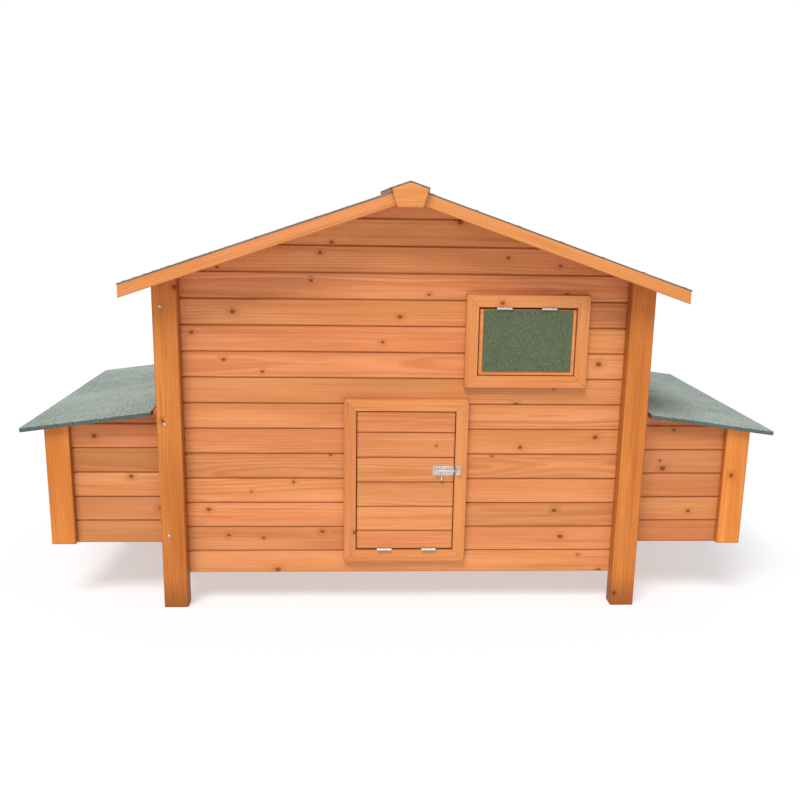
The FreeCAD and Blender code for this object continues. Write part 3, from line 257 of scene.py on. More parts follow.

    # stain gathers along the edges and on the thirsty end grain; this darkening is also painted
    # shade in the joints and where boards butt
    side = sums(tree, "ABSOLUTE", sums(tree, "SUBTRACT", across, start_y))
    side = sums(tree, "ADD", sums(tree, "SUBTRACT", half_y, side), 0.0008)
    side = sums(tree, "MULTIPLY_ADD", wobble, -0.0016, side)
    end = sums(tree, "ABSOLUTE", sums(tree, "SUBTRACT", along, start_x))
    end = sums(tree, "SUBTRACT", half_x, end)
    stain_and_joint_shade = fade(tree, side, 0.0012, 0.0050 if joint_stain_and_shade else 0.0026, 0.30 + joint_stain_and_shade, 0.0)
    colour = mix_colour(tree, stain_and_joint_shade, colour, halo)
    colour = mix_colour(tree, fade(tree, end, 0.0004, 0.0050, 0.40, 0.0), colour, halo)
    if foot_darkening:
        # darker towards the foot of the leg, over its lowest thirteen centimetres
        height = node(tree, "ShaderNodeTexCoord").outputs["Object"]
        height = node(tree, "ShaderNodeSeparateXYZ", {0: height}).outputs[2]
        height = sums(tree, "MULTIPLY_ADD", broad, 0.05, height)
        colour = mix_colour(tree, fade(tree, height, 0.02, 0.13, foot_darkening, 0.0), colour, halo)
    tuned = node(tree, "ShaderNodeHueSaturation",
                 {"Hue": sums(tree, "MULTIPLY_ADD", warmth, 0.010, 0.502),
                  "Value": sums(tree, "ADD", 1.0, light), "Color": colour})
    tree.links.new(tuned.outputs[0], shader.inputs["Base Color"])
    tree.links.new(fade(tree, fine, 0.3, 0.8, shine - 0.05, shine + 0.16),
                   shader.inputs["Roughness"])
    shader.inputs["Specular IOR Level"].default_value = 0.16
    relief = sums(tree, "MULTIPLY_ADD", band, 0.35, sums(tree, "MULTIPLY", fine, 0.6))
    relief = sums(tree, "MULTIPLY_ADD", rim, -0.7, relief)
    bump = node(tree, "ShaderNodeBump", {"Strength": 0.45, "Distance": 0.0007, "Height": relief})
    tree.links.new(bump.outputs[0], shader.inputs["Normal"])
    return made


FLAT = math.radians(0.6)


def solids(name):
    """A CAD node's solids one by one, each welded and with its flat faces whole again.

    The faces of one solid follow each other, and a solid is whole when no edge is open."""
    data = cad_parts[name].data
    spots = [tuple(round(value, 6) for value in corner.co) for corner in data.vertices]
    open_edges, faces, found = set(), [], []
    for polygon in data.polygons:
        ring = [spots[index] for index in polygon.vertices]
        faces.append(ring)
        for first, second in zip(ring, ring[1:] + ring[:1]):
            if (second, first) in open_edges:
                open_edges.remove((second, first))
            else:
                open_edges.add((first, second))
        if open_edges:
            continue
        mesh = bmesh.new()
        corners = {spot: mesh.verts.new(spot)
                   for spot in dict.fromkeys(spot for ring in faces for spot in ring)}
        for ring in faces:
            if len(set(ring)) > 2:
                mesh.faces.new([corners[spot] for spot in ring])
        bmesh.ops.dissolve_limit(mesh, angle_limit=FLAT, verts=mesh.verts, edges=mesh.edges)
        mesh.normal_update()
        found.append(mesh)
        faces = []
    return found


PARALLEL = 0.9999


def lie_of(mesh, run):
    """How a board lies: its middle, its directions and its half sizes, given along, across and
    through the wood."""
    along = Vector(run or (0, 0, 0))
    if not run:
        spans = [edge.verts[0].co - edge.verts[1].co for edge in mesh.edges]

        def same_way(span):
            """How much edge length runs the way that this edge does."""
            way = span.normalized()
            return sum(abs(way.dot(other)) for other in spans
                       if abs(way.dot(other.normalized())) > PARALLEL)
        along = max(spans, key=same_way)
    along = along.normalized()
    if max(along, key=abs) < 0:
        along = -along

    def reach(axis):
        places = [corner.co.dot(axis) for corner in mesh.verts]
        return min(places), max(places)
    trial = [Vector((1, 0, 0)), Vector((0, 1, 0)), Vector((0, 0, 1))]
    trial = [axis - along * axis.dot(along) for axis in trial]
    trial = [axis.normalized() for axis in trial if axis.length > 0.4]
    across = max(trial, key=lambda axis: reach(axis)[1] - reach(axis)[0])
    through = along.cross(across)
    axes = (along, across, through)
    spans = [reach(axis) for axis in axes]
    middle = sum((axis * (low + high) / 2 for axis, (low, high) in zip(axes, spans)), Vector())
    return middle, axes, Vector([(high - low) / 2 for low, high in spans])


CORNER = math.radians(20)
QUARTER_SAWN = 0.45
WARMTH = 0.35


def wooden(name, nodes, finish, body, edge=0.0012, seed=1, tone=0.08, set_out=0.0, run=None,
           lighter=0.0):
    """Boards softened at their edges, each with its own grain, tone and slight set.

    grain is a point's place in the log along, across and through the wood, start and half are
    where the board's middle lies in it and its half size, and board holds its own numbers."""
    dice = random.Random(seed)
    whole = bmesh.new()
    layers = {key: whole.verts.layers.float_vector.new(key)
              for key in ("grain", "start", "half", "board")}
    lies = []
    for source in nodes:
        for mesh in solids(source):
            middle, axes, half = lie_of(mesh, run)
            lies.append((middle, axes, half))
            sharp = [line for line in mesh.edges if len(line.link_faces) == 2
                     and line.calc_face_angle(0) > CORNER]
            bmesh.ops.bevel(mesh, geom=sharp, offset=edge, offset_type="OFFSET", segments=2,
                            profile=0.6, affect="EDGES", clamp_overlap=True)
            if dice.random() < QUARTER_SAWN:
                start = Vector((dice.uniform(0, 40), dice.uniform(0.03, 0.09),
                                dice.uniform(0.004, 0.02)))
            else:
                start = Vector((dice.uniform(0, 40), dice.uniform(-0.02, 0.02),
                                dice.uniform(0.018, 0.06)))
            own = Vector((dice.uniform(0, 9), lighter + dice.uniform(-tone, tone),
                          dice.uniform(-WARMTH, WARMTH)))
            push = axes[2] * dice.uniform(-set_out, set_out)
            copied = {}
            for corner in mesh.verts:
                away = corner.co - middle
                made = whole.verts.new(corner.co + push)
                made[layers["grain"]] = Vector([away.dot(axis) for axis in axes]) + start
                made[layers["start"]] = start
                made[layers["half"]] = half
                made[layers["board"]] = own
                copied[corner] = made
            for face in mesh.faces:
                whole.faces.new([copied[corner] for corner in face.verts]).smooth = True
            mesh.free()
    data = bpy.data.meshes.new(name)
    whole.normal_update()
    whole.to_mesh(data)
    whole.free()
    data.materials.append(finish)
    piece = link(bpy.data.objects.new(name, data))
    piece.modifiers.new("flat_faces", "WEIGHTED_NORMAL").keep_sharp = True
    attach(piece, body)
    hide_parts(*nodes)
    return lies


golden_stain = stained_fir("golden_stain", (0.68, 0.232, 0.050, 1), (0.54, 0.165, 0.030, 1),
                           (0.36, 0.092, 0.016, 1), knots=0.9, foot_darkening=0.60)
for leg, seed, lighter in (("leg_front_left", 11, -0.04), ("leg_front_right", 12, 0.04),
                           ("leg_rear_left", 13, 0.0), ("leg_rear_right", 14, -0.04)):
    wooden(leg + "_planed", [leg], golden_stain, "coop", edge=0.0015, seed=seed,
           tone=0.0, lighter=lighter)


# ------------------------------------------------------------------ wall boards
# Tongued boards with a V joint on the outer face, run level between the legs, stained orange
# brown. Every board comes from another tree, so tone, rings and knots change from row to row.

# the V joints of the wall boards carry a little more of the painted joint shade
orange_stain = stained_fir("orange_stain", (0.74, 0.280, 0.112, 1), (0.62, 0.214, 0.074, 1),
                           (0.46, 0.130, 0.034, 1), joint_stain_and_shade=0.06)
wall_lies = {}
for wall, seed in (("front_wall_boards", 21), ("rear_wall_boards", 22), ("left_wall_boards", 23),
                   ("right_wall_boards", 24)):
    wall_lies[wall] = wooden(wall + "_laid", [wall], orange_stain, "coop", edge=0.0007,
                             seed=seed, set_out=0.0003)


# ------------------------------------------------------------------ frame behind the boards
# Thin sawn battens, wall plates, rafters and a ridge beam carry the boards and the roof, and
# bearers carry the floor. They had one thin coat of stain and stay paler and rougher.

thin_stain = stained_fir("thin_stain", (0.70, 0.37, 0.17, 1), (0.60, 0.28, 0.115, 1),
                         (0.46, 0.18, 0.06, 1), shine=0.62)
wooden("frame_sawn", ["wall_battens", "wall_plates", "rafters", "ridge_beam", "floor_bearers"],
       thin_stain, "coop", edge=0.001, seed=31, tone=0.12)
wooden("perches_planed", ["perches", "perch_brackets"], thin_stain, "coop",
       edge=0.0025, seed=32)
wooden("dividers_sawn", ["nest_dividers"], thin_stain, "coop", edge=0.001, seed=33)


# ------------------------------------------------------------------ sheets: roof, floor, nest floors
# Thin plywood, cut square, its face veneer turned from one log so the figure is wide and calm.
# The roof sheets are nailed to the rafters and the floor lies on its bearers.

sheet_stain = stained_fir("sheet_stain", (0.70, 0.38, 0.175, 1), (0.63, 0.31, 0.13, 1),
                          (0.52, 0.22, 0.08, 1), knots=0.3, figure=0.8, shine=0.60)
wooden("sheets_cut", ["left_roof_panel", "right_roof_panel", "floor_panel", "nest_floors"],
       sheet_stain, "coop", edge=0.0006, seed=41, tone=0.04)


# ------------------------------------------------------------------ trims, barges and ridge
# Planed boards nailed over the openings and along the gable edges, a little warmer than the
# wall. The trims are mitred at the corners. The ridge is two boards, and a pointed plate
# covers the joint of the barge boards at each gable.

trim_stain = stained_fir("trim_stain", (0.71, 0.272, 0.096, 1), (0.63, 0.220, 0.066, 1),
                         (0.50, 0.135, 0.034, 1), knots=0.45, figure=0.8)
trim_lies = {}
for piece, nodes, seed, run, lighter in (
        ("barge_boards_planed", ["barge_boards"], 51, None, 0.05),
        ("ridge_boards_planed", ["ridge_cap_boards"], 52, (0, 1, 0), 0.0),
        ("finials_sawn", ["finials"], 53, (1, 0, 0), 0.07),
        ("door_trim_mitred", ["door_trim"], 54, None, 0.0),
        ("window_trim_mitred", ["window_trim"], 55, None, 0.02),
        ("rear_trim_mitred", ["rear_door_trim"], 56, None, 0.0),
        ("hinge_rails_planed", ["hinge_rails"], 57, (0, 1, 0), 0.0)):
    trim_lies[piece] = wooden(piece, nodes, trim_stain, "coop", edge=0.0012, seed=seed,
                              tone=0.03, run=run, lighter=lighter)


# ------------------------------------------------------------------ nest boxes
# Corner posts of the legs' golden brown wood with V-jointed boards between them, nailed on
# and set back behind the posts' faces.

wooden("nest_posts_planed", ["nest_posts"], golden_stain, "coop", edge=0.0014, seed=61,
       tone=0.04, lighter=0.20)
# The nest boards are made eleven percent darker than the wall boards as painted shade under the
# lids.
for wall, seed in (("left_nest_boards", 62), ("right_nest_boards", 63)):
    wall_lies[wall] = wooden(wall + "_laid", [wall], orange_stain, "coop", edge=0.0007,
                             seed=seed, set_out=0.0003, lighter=-0.11)


# ------------------------------------------------------------------ doors and lids of wood
# The pop door and the rear door are the same boards, held by ledges on their inner faces; the
# pop door's cleats make it a ramp. The flap and the nest lids are single boards.

wooden("pop_door_laid", ["pop_door_boards"], orange_stain, "pop_door", edge=0.0007,
       seed=71, tone=0.05, set_out=0.0002, lighter=0.02)
wooden("pop_door_ledged", ["pop_door_ledges", "ramp_cleats"], thin_stain, "pop_door",
       seed=72)
wooden("rear_door_laid", ["rear_door_boards"], orange_stain, "rear_door", edge=0.0007,
       seed=73, tone=0.05, set_out=0.0002)
wooden("rear_door_ledged", ["rear_door_ledges"], thin_stain, "rear_door", seed=74)
wooden("flap_planed", ["flap_board"], trim_stain, "vent_flap", seed=75, lighter=0.10)
wooden("left_lid_planed", ["left_lid_board"], trim_stain, "left_nest_lid", seed=76)
wooden("right_lid_planed", ["right_lid_board"], trim_stain, "right_nest_lid", seed=77)
wooden("tray_front_planed", ["tray_front"], orange_stain, "droppings_tray", seed=78)
wooden("tray_knob_turned", ["tray_knob"], thin_stain, "droppings_tray", edge=0.0016,
       seed=79, run=(0, 1, 0))


# ------------------------------------------------------------------ felt
# Bitumen felt faced with crushed green slate. It lies on both roof slopes, over the ridge, on
# the nest lids, where it is folded down over three edges, and on the vent flap.

BITUMEN = (0.020, 0.027, 0.021, 1)
FOLD_SHADE = 0.28


def mineral_felt(name, shades, pale_grit, grit, dust, fold_shade_amount=0.0):
    """Crushed slate pressed into bitumen: fine and coarse grains, bald specks, and dust, and
    painted shade where the sheet is folded down and faces sideways."""
    made, tree, shader = surface(name)
    here = node(tree, "ShaderNodeTexCoord").outputs
    place = here["Object"]
    grains = node(tree, "ShaderNodeTexVoronoi", {"Vector": place, "Scale": 720.0})
    coarse = node(tree, "ShaderNodeTexVoronoi", {"Vector": place, "Scale": 330.0})
    pick = node(tree, "ShaderNodeSeparateColor", {0: grains.outputs["Color"]}).outputs
    pick_coarse = node(tree, "ShaderNodeSeparateColor", {0: coarse.outputs["Color"]}).outputs
    patches = node(tree, "ShaderNodeTexNoise", {"Vector": place, "Scale": 38.0, "Detail": 5.0,
                                                "Roughness": 0.72}).outputs["Fac"]
    weather = node(tree, "ShaderNodeTexNoise", {"Vector": place, "Scale": 4.0, "Detail": 3.0})
    weather = weather.outputs["Fac"]
    colour = mix_colour(tree, fade(tree, pick[0], 0.05, 0.95), shades[0], shades[1])
    colour = mix_colour(tree, fade(tree, pick_coarse[1], 0.74, 0.95, 0.0, grit), colour, pale_grit)
    colour = mix_colour(tree, fade(tree, pick_coarse[0], 0.82, 0.96, 0.0, grit), colour, BITUMEN)
    colour = mix_colour(tree, fade(tree, patches, 0.40, 0.66, 0.0, 0.40), colour, shades[1])
    colour = mix_colour(tree, fade(tree, weather, 0.35, 0.72, 0.0, dust), colour, pale_grit)
    # painted shade: faces turned from upward to sideways, such as the folded edges, are darkened
    if fold_shade_amount:
        facing = node(tree, "ShaderNodeSeparateXYZ", {0: here["Normal"]}).outputs[2]
        colour = mix_colour(tree, fade(tree, facing, 0.25, 0.80, fold_shade_amount, 0.0), colour,
                            tuple(FOLD_SHADE * value for value in shades[0][:3]) + (1,))
    tree.links.new(colour, shader.inputs["Base Color"])
    tree.links.new(fade(tree, pick[1], 0.0, 1.0, 0.78, 0.97), shader.inputs["Roughness"])
    shader.inputs["Specular IOR Level"].default_value = 0.25
    height = sums(tree, "MULTIPLY_ADD", patches, 0.8, grains.outputs["Distance"])
    bump = node(tree, "ShaderNodeBump", {"Strength": 0.6, "Distance": 0.0009, "Height": height})
    tree.links.new(bump.outputs[0], shader.inputs["Normal"])
    return made


# Two copies of one felt: a lighter one whose extra lightness is painted sky sheen and top light, on
# the roof and lids, and a darker one in painted shade, on the flap under its trim.
sky_lit_felt = mineral_felt("sky_lit_felt", ((0.160, 0.205, 0.180, 1), (0.32, 0.385, 0.345, 1)),
                          (0.50, 0.56, 0.52, 1), 0.75, 0.40, fold_shade_amount=0.75)
shaded_flap_felt = mineral_felt("shaded_flap_felt", ((0.070, 0.090, 0.044, 1), (0.112, 0.138, 0.070, 1)),
                          (0.185, 0.215, 0.130, 1), 0.45, 0.15)
ridge_strip = mineral_felt("ridge_strip", ((0.085, 0.105, 0.090, 1), (0.16, 0.19, 0.165, 1)),
                           (0.30, 0.34, 0.30, 1), 0.6, 0.20)


def waved(mesh, step, seed, lift):
    """Cut a sheet finely enough and lay it with the slight waves that felt keeps."""
    for axis in (0, 1):
        places = [corner.co[axis] for corner in mesh.verts]
        low, high = min(places), max(places)
        count = max(1, int((high - low) / step))
        normal = Vector((0, 0, 0))
        normal[axis] = 1.0
        for number in range(1, count):
            bmesh.ops.bisect_plane(mesh, geom=mesh.verts[:] + mesh.edges[:] + mesh.faces[:],
                                   plane_co=normal * (low + (high - low) * number / count),
                                   plane_no=normal)
    mesh.normal_update()
    for corner in mesh.verts:
        if corner.normal.z > 0.3:
            wave = noise.noise(corner.co * 9.0 + Vector((seed, 0, 0)))
            corner.co += corner.normal * lift * (0.5 + 0.5 * wave)
    for face in mesh.faces:
        face.smooth = True


def felted(name, source, finish, body, mesh, thick=0.0):
    """Give a felt sheet its finish and its place in the frame."""
    data = bpy.data.meshes.new(name)
    mesh.to_mesh(data)
    mesh.free()
    piece = link(bpy.data.objects.new(name, data))
    data.materials.append(finish)
    if thick:
        sheet = piece.modifiers.new("thickness", "SOLIDIFY")
        sheet.thickness = thick
        sheet.offset = -1.0
    piece.modifiers.new("flat_faces", "WEIGHTED_NORMAL").keep_sharp = True
    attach(piece, body)
    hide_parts(source)


SHEET_EDGE = 0.0006
ROOF_WAVE_STEP = 0.03
ROOF_WAVE_LIFT = 0.0010
for name, source, finish, body, seed in (
        ("left_roof_felt_laid", "left_roof_felt", sky_lit_felt, "coop", 1),
        ("right_roof_felt_laid", "right_roof_felt", sky_lit_felt, "coop", 2),
        ("ridge_felt_laid", "ridge_cap_felt", ridge_strip, "coop", 3),
        ("flap_felt_glued", "flap_felt", shaded_flap_felt, "vent_flap", 6)):
    sheet = bmesh.new()
    for slab in solids(source):
        bmesh.ops.bevel(slab, geom=slab.edges[:], offset=SHEET_EDGE, offset_type="OFFSET",
                        segments=2, profile=0.6, affect="EDGES")
        waved(slab, ROOF_WAVE_STEP, seed, ROOF_WAVE_LIFT)
        loose = bpy.data.meshes.new("slab")
        slab.to_mesh(loose)
        sheet.from_mesh(loose)
        bpy.data.meshes.remove(loose)
        slab.free()
    felted(name, source, finish, body, sheet)

LIP_DEEP = 0.011
FOLD_RADIUS = 0.0024
LID_WAVE_STEP = 0.025
LID_WAVE_LIFT = 0.0008
LID_FELT_THICK = 0.0019
for side, seed in (("left", 4), ("right", 5)):
    low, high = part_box(side + "_lid_felt")
    outer, inner = (low.x, high.x) if side == "left" else (high.x, low.x)
    sheet = bmesh.new()
    rows = []
    for y in (low.y, high.y):
        rows.append([sheet.verts.new(spot) for spot in (
            (outer, y, low.z), (outer, y, low.z + LIP_DEEP), (inner, y, high.z),
            (inner, y, high.z - LIP_DEEP))])
    near, far = rows
    outline = [near[1], near[2], far[2], far[1]]
    for ring in (outline, near, list(reversed(far)), [near[0], far[0], far[1], near[1]]):
        sheet.faces.new(ring)
    bmesh.ops.recalc_face_normals(sheet, faces=sheet.faces[:])
    if max(sheet.faces, key=lambda face: face.calc_area()).normal.z < 0:
        bmesh.ops.reverse_faces(sheet, faces=sheet.faces[:])
    folds = [line for line in sheet.edges if len(line.link_faces) == 2]
    bmesh.ops.bevel(sheet, geom=folds, offset=FOLD_RADIUS, offset_type="OFFSET", segments=3,
                    profile=0.5, affect="EDGES")
    waved(sheet, LID_WAVE_STEP, seed, LID_WAVE_LIFT)
    felted(side + "_lid_felt_folded", side + "_lid_felt", sky_lit_felt, side + "_nest_lid", sheet,
           LID_FELT_THICK)


# ------------------------------------------------------------------ hinges, bolts, wire and pan
# Pressed steel with a bright zinc coat, clouded and slightly yellow. The pan is galvanised
# sheet with its spangle, and the mesh is galvanised wire.

def zinc(name, light, dark, rough, spangle):
    """Zinc on steel: cloudy brightness, fine scratches, and crystals where it was hot dipped."""
    made, tree, shader = surface(name)
    place = node(tree, "ShaderNodeTexCoord").outputs["Object"]
    cloud = node(tree, "ShaderNodeTexNoise", {"Vector": place, "Scale": 70.0, "Detail": 4.0})
    cloud = cloud.outputs["Fac"]
    crystal = node(tree, "ShaderNodeTexVoronoi", {"Vector": place, "Scale": spangle})
    flake = node(tree, "ShaderNodeSeparateColor", {0: crystal.outputs["Color"]}).outputs[0]
    colour = mix_colour(tree, cloud, light, dark)
    colour = mix_colour(tree, sums(tree, "MULTIPLY", flake, 0.45), colour, dark)
    tree.links.new(colour, shader.inputs["Base Color"])
    shader.inputs["Metallic"].default_value = 1.0
    clouded = fade(tree, cloud, 0.3, 0.7, rough, rough + 0.12)
    tree.links.new(sums(tree, "MULTIPLY_ADD", flake, 0.10, clouded), shader.inputs["Roughness"])
    scratch = node(tree, "ShaderNodeTexNoise", {"Vector": place, "Scale": 900.0, "Detail": 2.0})
    bump = node(tree, "ShaderNodeBump", {"Strength": 0.15, "Distance": 0.0002,
                                         "Height": scratch.outputs["Fac"]})
    tree.links.new(bump.outputs[0], shader.inputs["Normal"])
    return made


bright_zinc = zinc("bright_zinc", (0.80, 0.76, 0.72, 1), (0.50, 0.46, 0.44, 1), 0.24, 300.0)
dipped_zinc = zinc("dipped_zinc", (0.70, 0.72, 0.73, 1), (0.48, 0.50, 0.52, 1), 0.34, 90.0)
for name in ("door_hinge_leaves", "flap_hinge_leaves", "rear_hinge_leaves", "right_lid_hinge_leaves",
             "left_lid_hinge_leaves", "fixed_hinge_leaves", "door_bolt_plate", "door_bolt_rod",
             "rear_bolt_plate", "rear_bolt_rod", "bolt_keepers"):
    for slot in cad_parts[name].material_slots:
        slot.material = bright_zinc
for name in ("vent_mesh", "tray_pan"):
    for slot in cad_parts[name].material_slots:
        slot.material = dipped_zinc


# ------------------------------------------------------------------ screws
# Pan-head screws with a cross recess: large ones through each leg into the wall battens, and
# small ones that hold the bolt plates. Each stands at its own angle, as it was driven.

def lathe(profile, steps):
    """A closed shape turned about the Z axis from (radius, height) points."""
    mesh = bmesh.new()
    rings = []
    for radius, height in profile:
        if radius:
            rings.append([mesh.verts.new((radius * math.cos(2 * math.pi * k / steps),
                                          radius * math.sin(2 * math.pi * k / steps), height))
                          for k in range(steps)])
        else:
            rings.append([mesh.verts.new((0, 0, height))])
    for lower, upper in zip(rings, rings[1:]):
        for k in range(steps):
            here, ahead = k, (k + 1) % steps
            loop = [lower[here % len(lower)], lower[ahead % len(lower)],
                    upper[ahead % len(upper)], upper[here % len(upper)]]
            mesh.faces.new(list(dict.fromkeys(loop)))
    bmesh.ops.recalc_face_normals(mesh, faces=mesh.faces[:])
    return mesh


PAN_HEAD = ((0, -0.6), (0.45, -0.6), (0.45, 0.0), (1.0, 0.0), (1.0, 0.16), (0.93, 0.34),
            (0.72, 0.50), (0.40, 0.58), (0, 0.60))
RECESS_SIZE = (1.10, 0.22, 0.60)
RECESS_HEIGHT = 0.56
RECESS_TAPER = 0.45


def screw_shape():
    """A screw head of unit radius with its cross recess cut in."""
    head = lathe(PAN_HEAD, 28)
    cutter = bmesh.new()
    for turn in (0, math.pi / 2):
        bar = bmesh.ops.create_cube(cutter, size=1.0)["verts"]
        bmesh.ops.scale(cutter, vec=RECESS_SIZE, verts=bar)
        bmesh.ops.translate(cutter, vec=(0, 0, RECESS_HEIGHT), verts=bar)
        bmesh.ops.rotate(cutter, matrix=Matrix.Rotation(turn, 3, "Z"), verts=bar)
        for corner in bar:
            if corner.co.z < RECESS_HEIGHT:
                corner.co.xy *= RECESS_TAPER
    things = []
    for name, mesh in (("head", head), ("cutter", cutter)):
        data = bpy.data.meshes.new(name)
        mesh.to_mesh(data)
        mesh.free()
        things.append(link(bpy.data.objects.new(name, data)))
    cut = things[0].modifiers.new("recess", "BOOLEAN")
    cut.operation = "DIFFERENCE"
    cut.solver = "EXACT"
    cut.use_self = True
    cut.object = things[1]
    bpy.context.view_layer.update()
    finished = things[0].evaluated_get(bpy.context.evaluated_depsgraph_get())
    shape = bpy.data.meshes.new_from_object(finished)
    for thing in things:
        bpy.data.objects.remove(thing)
    return shape


def fixings(name, shape, places, radius, finish, body, seed):
    """Screws or nails as one piece: a shape set at every (point, outward direction)."""
    dice = random.Random(seed)
    whole = bmesh.new()
    for point, outward in places:
        spin = Matrix.Rotation(dice.uniform(0, math.pi), 4, "Z")
        stand = Vector(outward).to_track_quat("Z", "Y").to_matrix().to_4x4()
        driven = Matrix.Translation(point) @ stand @ spin @ Matrix.Scale(radius, 4)
        known = len(whole.verts)
        whole.from_mesh(shape)
        whole.verts.ensure_lookup_table()
        bmesh.ops.transform(whole, matrix=driven, verts=whole.verts[known:])
    for face in whole.faces:
        face.smooth = len(face.verts) < 5 and face.normal.length > 0
    data = bpy.data.meshes.new(name)
    whole.to_mesh(data)
    whole.free()
    data.materials.append(finish)
    piece = link(bpy.data.objects.new(name, data))
    piece.modifiers.new("flat_faces", "WEIGHTED_NORMAL").keep_sharp = True
    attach(piece, body)
    return piece


screw_head = screw_shape()
LEG_SCREW_RADIUS = 0.0042
LEG_SCREW_PROUD = 0.0012
leg_places = []
for mesh in solids("leg_screws"):
    low = Vector([min(corner.co[axis] for corner in mesh.verts) for axis in range(3)])
    high = Vector([max(corner.co[axis] for corner in mesh.verts) for axis in range(3)])
    axis = max(range(3), key=lambda which: high[which] - low[which])
    outward = Vector((0, 0, 0))
    outward[axis] = math.copysign(1.0, (low + high)[axis])
    point = (low + high) / 2
    point[axis] = (high if outward[axis] > 0 else low)[axis] - outward[axis] * LEG_SCREW_PROUD
    leg_places.append((point, outward))
    mesh.free()
piece = fixings("leg_screws_driven", screw_head, leg_places, LEG_SCREW_RADIUS, bright_zinc, "coop",
                seed=81)
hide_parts("leg_screws")

PLATE_SCREW_RADIUS = 0.0021
PLATE_SCREW_FROM_END = 0.005
PLATE_SCREW_FROM_EDGE = 0.0036


def thickness_of(mesh):
    """How thick a plate on the front or rear wall is."""
    depths = [corner.co.y for corner in mesh.verts]
    return max(depths) - min(depths)


for name, plate, body, outward, seed in (
        ("door_bolt_screws", "door_bolt_plate", "pop_door", (0, -1, 0), 82),
        ("rear_bolt_screws", "rear_bolt_plate", "rear_door", (0, 1, 0), 83)):
    corners = [corner.co for corner in min(solids(plate), key=thickness_of).verts]
    front = (min if outward[1] < 0 else max)(spot.y for spot in corners)
    columns = (min(spot.x for spot in corners) + PLATE_SCREW_FROM_END,
               max(spot.x for spot in corners) - PLATE_SCREW_FROM_END)
    rows = (min(spot.z for spot in corners) + PLATE_SCREW_FROM_EDGE,
            max(spot.z for spot in corners) - PLATE_SCREW_FROM_EDGE)
    fixings(name, screw_head, [((x, front, z), outward) for x in columns for z in rows],
            PLATE_SCREW_RADIUS, bright_zinc, body, seed=seed)


# ------------------------------------------------------------------ nails
# Small round brads along both ends of every wall board, in the trims and barge boards, and
# broad clout nails round the edge of the roof felt. The brads took some of the stain.

def brad_finish():
    """Steel brads under a thin, uneven coat of stain."""
    made, tree, shader = surface("stained_brads")
    place = node(tree, "ShaderNodeTexCoord").outputs["Object"]
    patch = node(tree, "ShaderNodeTexNoise", {"Vector": place, "Scale": 900.0, "Detail": 3.0})
    patch = patch.outputs["Fac"]
    colour = mix_colour(tree, fade(tree, patch, 0.35, 0.65), (0.30, 0.13, 0.05, 1),
                        (0.52, 0.38, 0.28, 1))
    tree.links.new(colour, shader.inputs["Base Color"])
    tree.links.new(fade(tree, patch, 0.3, 0.7, 0.55, 0.35), shader.inputs["Roughness"])
    shader.inputs["Metallic"].default_value = 0.6
    return made


def nail_shape(profile):
    """A turned nail head of unit radius."""
    data = bpy.data.meshes.new("nail")
    mesh = lathe(profile, 14)
    mesh.to_mesh(data)
    mesh.free()
    return data


stained_brads = brad_finish()
brad = nail_shape(((0, -0.8), (0.5, -0.8), (0.5, -0.05), (1.0, -0.05), (0.96, 0.16), (0.62, 0.30),
                   (0, 0.34)))
BRAD_RADIUS = 0.0015
BRAD_INSET = 0.012
BRAD_SPREAD = 0.26
TRIM_BRAD_INSET = 0.030
TRIM_BRAD_STEP = 0.17
SAME_END = 0.002
MOSTLY = 0.9
ROOF_DEEP = 0.030


def outward_of(lie):
    """The outer face of a board: its direction through the wood, away from the coop's middle."""
    middle, axes, half = lie
    through = axes[2]
    flat = Vector((middle.x, middle.y, 0))
    return through if through.dot(flat) > 0 else -through


def under_roof(spot):
    """Whether a nail in a wall board clears the underside of the sloping roof."""
    low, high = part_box("left_roof_felt")
    rise = (high.z - low.z) / (high.x - low.x)
    return spot.z < low.z + rise * (abs(low.x) - abs(spot.x)) - ROOF_DEEP


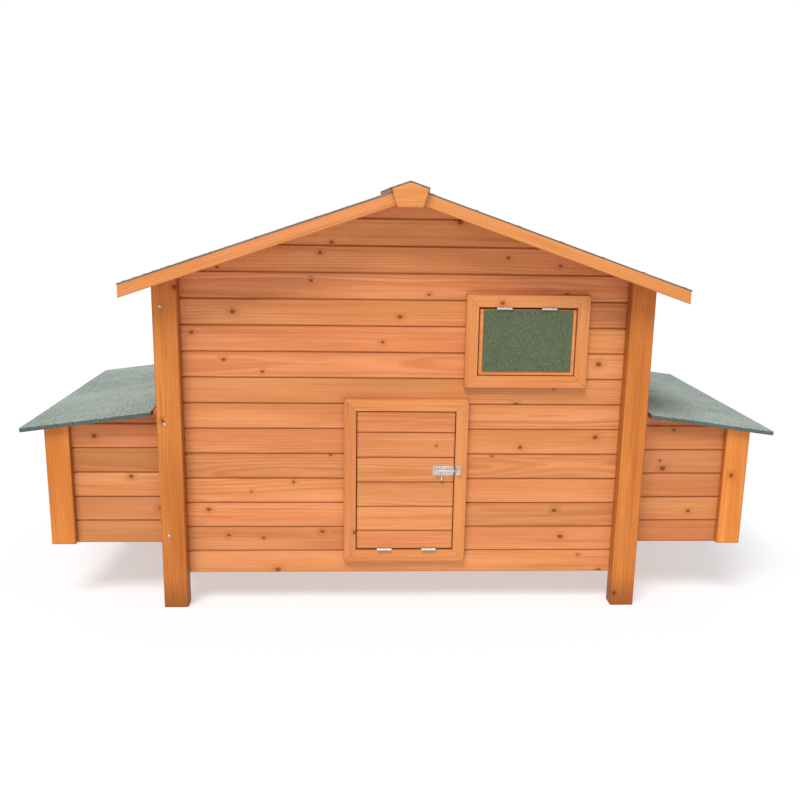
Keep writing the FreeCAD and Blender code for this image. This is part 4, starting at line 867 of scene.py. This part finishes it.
places = []
for lies in wall_lies.values():
    for axis in (0, 1):
        ends = [(lie[0][axis] - lie[2].x, lie[0][axis] + lie[2].x) for lie in lies
                if abs(lie[1][0][axis]) > MOSTLY]
        if not ends:
            continue
        first, last = min(end[0] for end in ends), max(end[1] for end in ends)
        for middle, axes, half in lies:
            if abs(axes[0][axis]) < MOSTLY:
                continue
            for sign, limit in ((-1, first), (1, last)):
                if abs(middle[axis] + sign * half.x - limit) > SAME_END:
                    continue
                for up in (-BRAD_SPREAD, BRAD_SPREAD):
                    spot = middle + axes[0] * sign * (half.x - BRAD_INSET)
                    spot += axes[1] * up * 2 * half.y
                    outward = outward_of((middle, axes, half))
                    if under_roof(spot):
                        places.append((spot + outward * half.z, outward))
for name, lies in trim_lies.items():
    if name in ("finials_sawn", "ridge_boards_planed", "hinge_rails_planed"):
        continue
    for middle, axes, half in lies:
        outward = Vector((0, math.copysign(1.0, middle.y), 0))
        count = max(2, round(2 * (half.x - TRIM_BRAD_INSET) / TRIM_BRAD_STEP) + 1)
        for number in range(count):
            shift = (half.x - TRIM_BRAD_INSET) * (2 * number / (count - 1) - 1)
            face = abs(axes[2].dot(outward)) > MOSTLY
            spot = middle + axes[0] * shift + outward * (half.z if face else half.y)
            places.append((spot, outward))
fixings("wall_and_trim_brads", brad, places, BRAD_RADIUS, stained_brads, "coop", seed=91)

clout = nail_shape(((0, -0.3), (0.3, -0.3), (0.3, 0.0), (1.0, 0.0), (1.0, 0.10), (0.86, 0.17),
                    (0, 0.20)))
CLOUT_RADIUS = 0.0045
CLOUT_INSET = 0.014
CLOUT_STEP = 0.105
CLOUT_SEAT = 0.0036
FELT_DEEP = 0.0023
RIDGE_CLEAR = 0.07
places = []
for side, sign in (("left", -1), ("right", 1)):
    low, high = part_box(side + "_roof_felt")
    rise = (high.z - low.z - FELT_DEEP) / (high.x - low.x)
    outward = Vector((sign * rise, 0, 1)).normalized()
    eave = low.x if sign < 0 else high.x

    def on_slope(inward, y):
        """A point on the top of the felt, so far in from the eave."""
        return Vector((eave - sign * inward, y, low.z + CLOUT_SEAT + rise * inward))
    count = round((high.y - low.y - 2 * CLOUT_INSET) / CLOUT_STEP)
    for number in range(count + 1):
        y = low.y + CLOUT_INSET + (high.y - low.y - 2 * CLOUT_INSET) * number / count
        places.append((on_slope(CLOUT_INSET, y), outward))
    count = round((high.x - low.x - RIDGE_CLEAR) / CLOUT_STEP)
    for number in range(1, count + 1):
        inward = CLOUT_INSET + (high.x - low.x - RIDGE_CLEAR) * number / count
        for y in (low.y + CLOUT_INSET, high.y - CLOUT_INSET):
            places.append((on_slope(inward, y), outward))
fixings("roof_clouts", clout, places, CLOUT_RADIUS, dipped_zinc, "coop", seed=92)
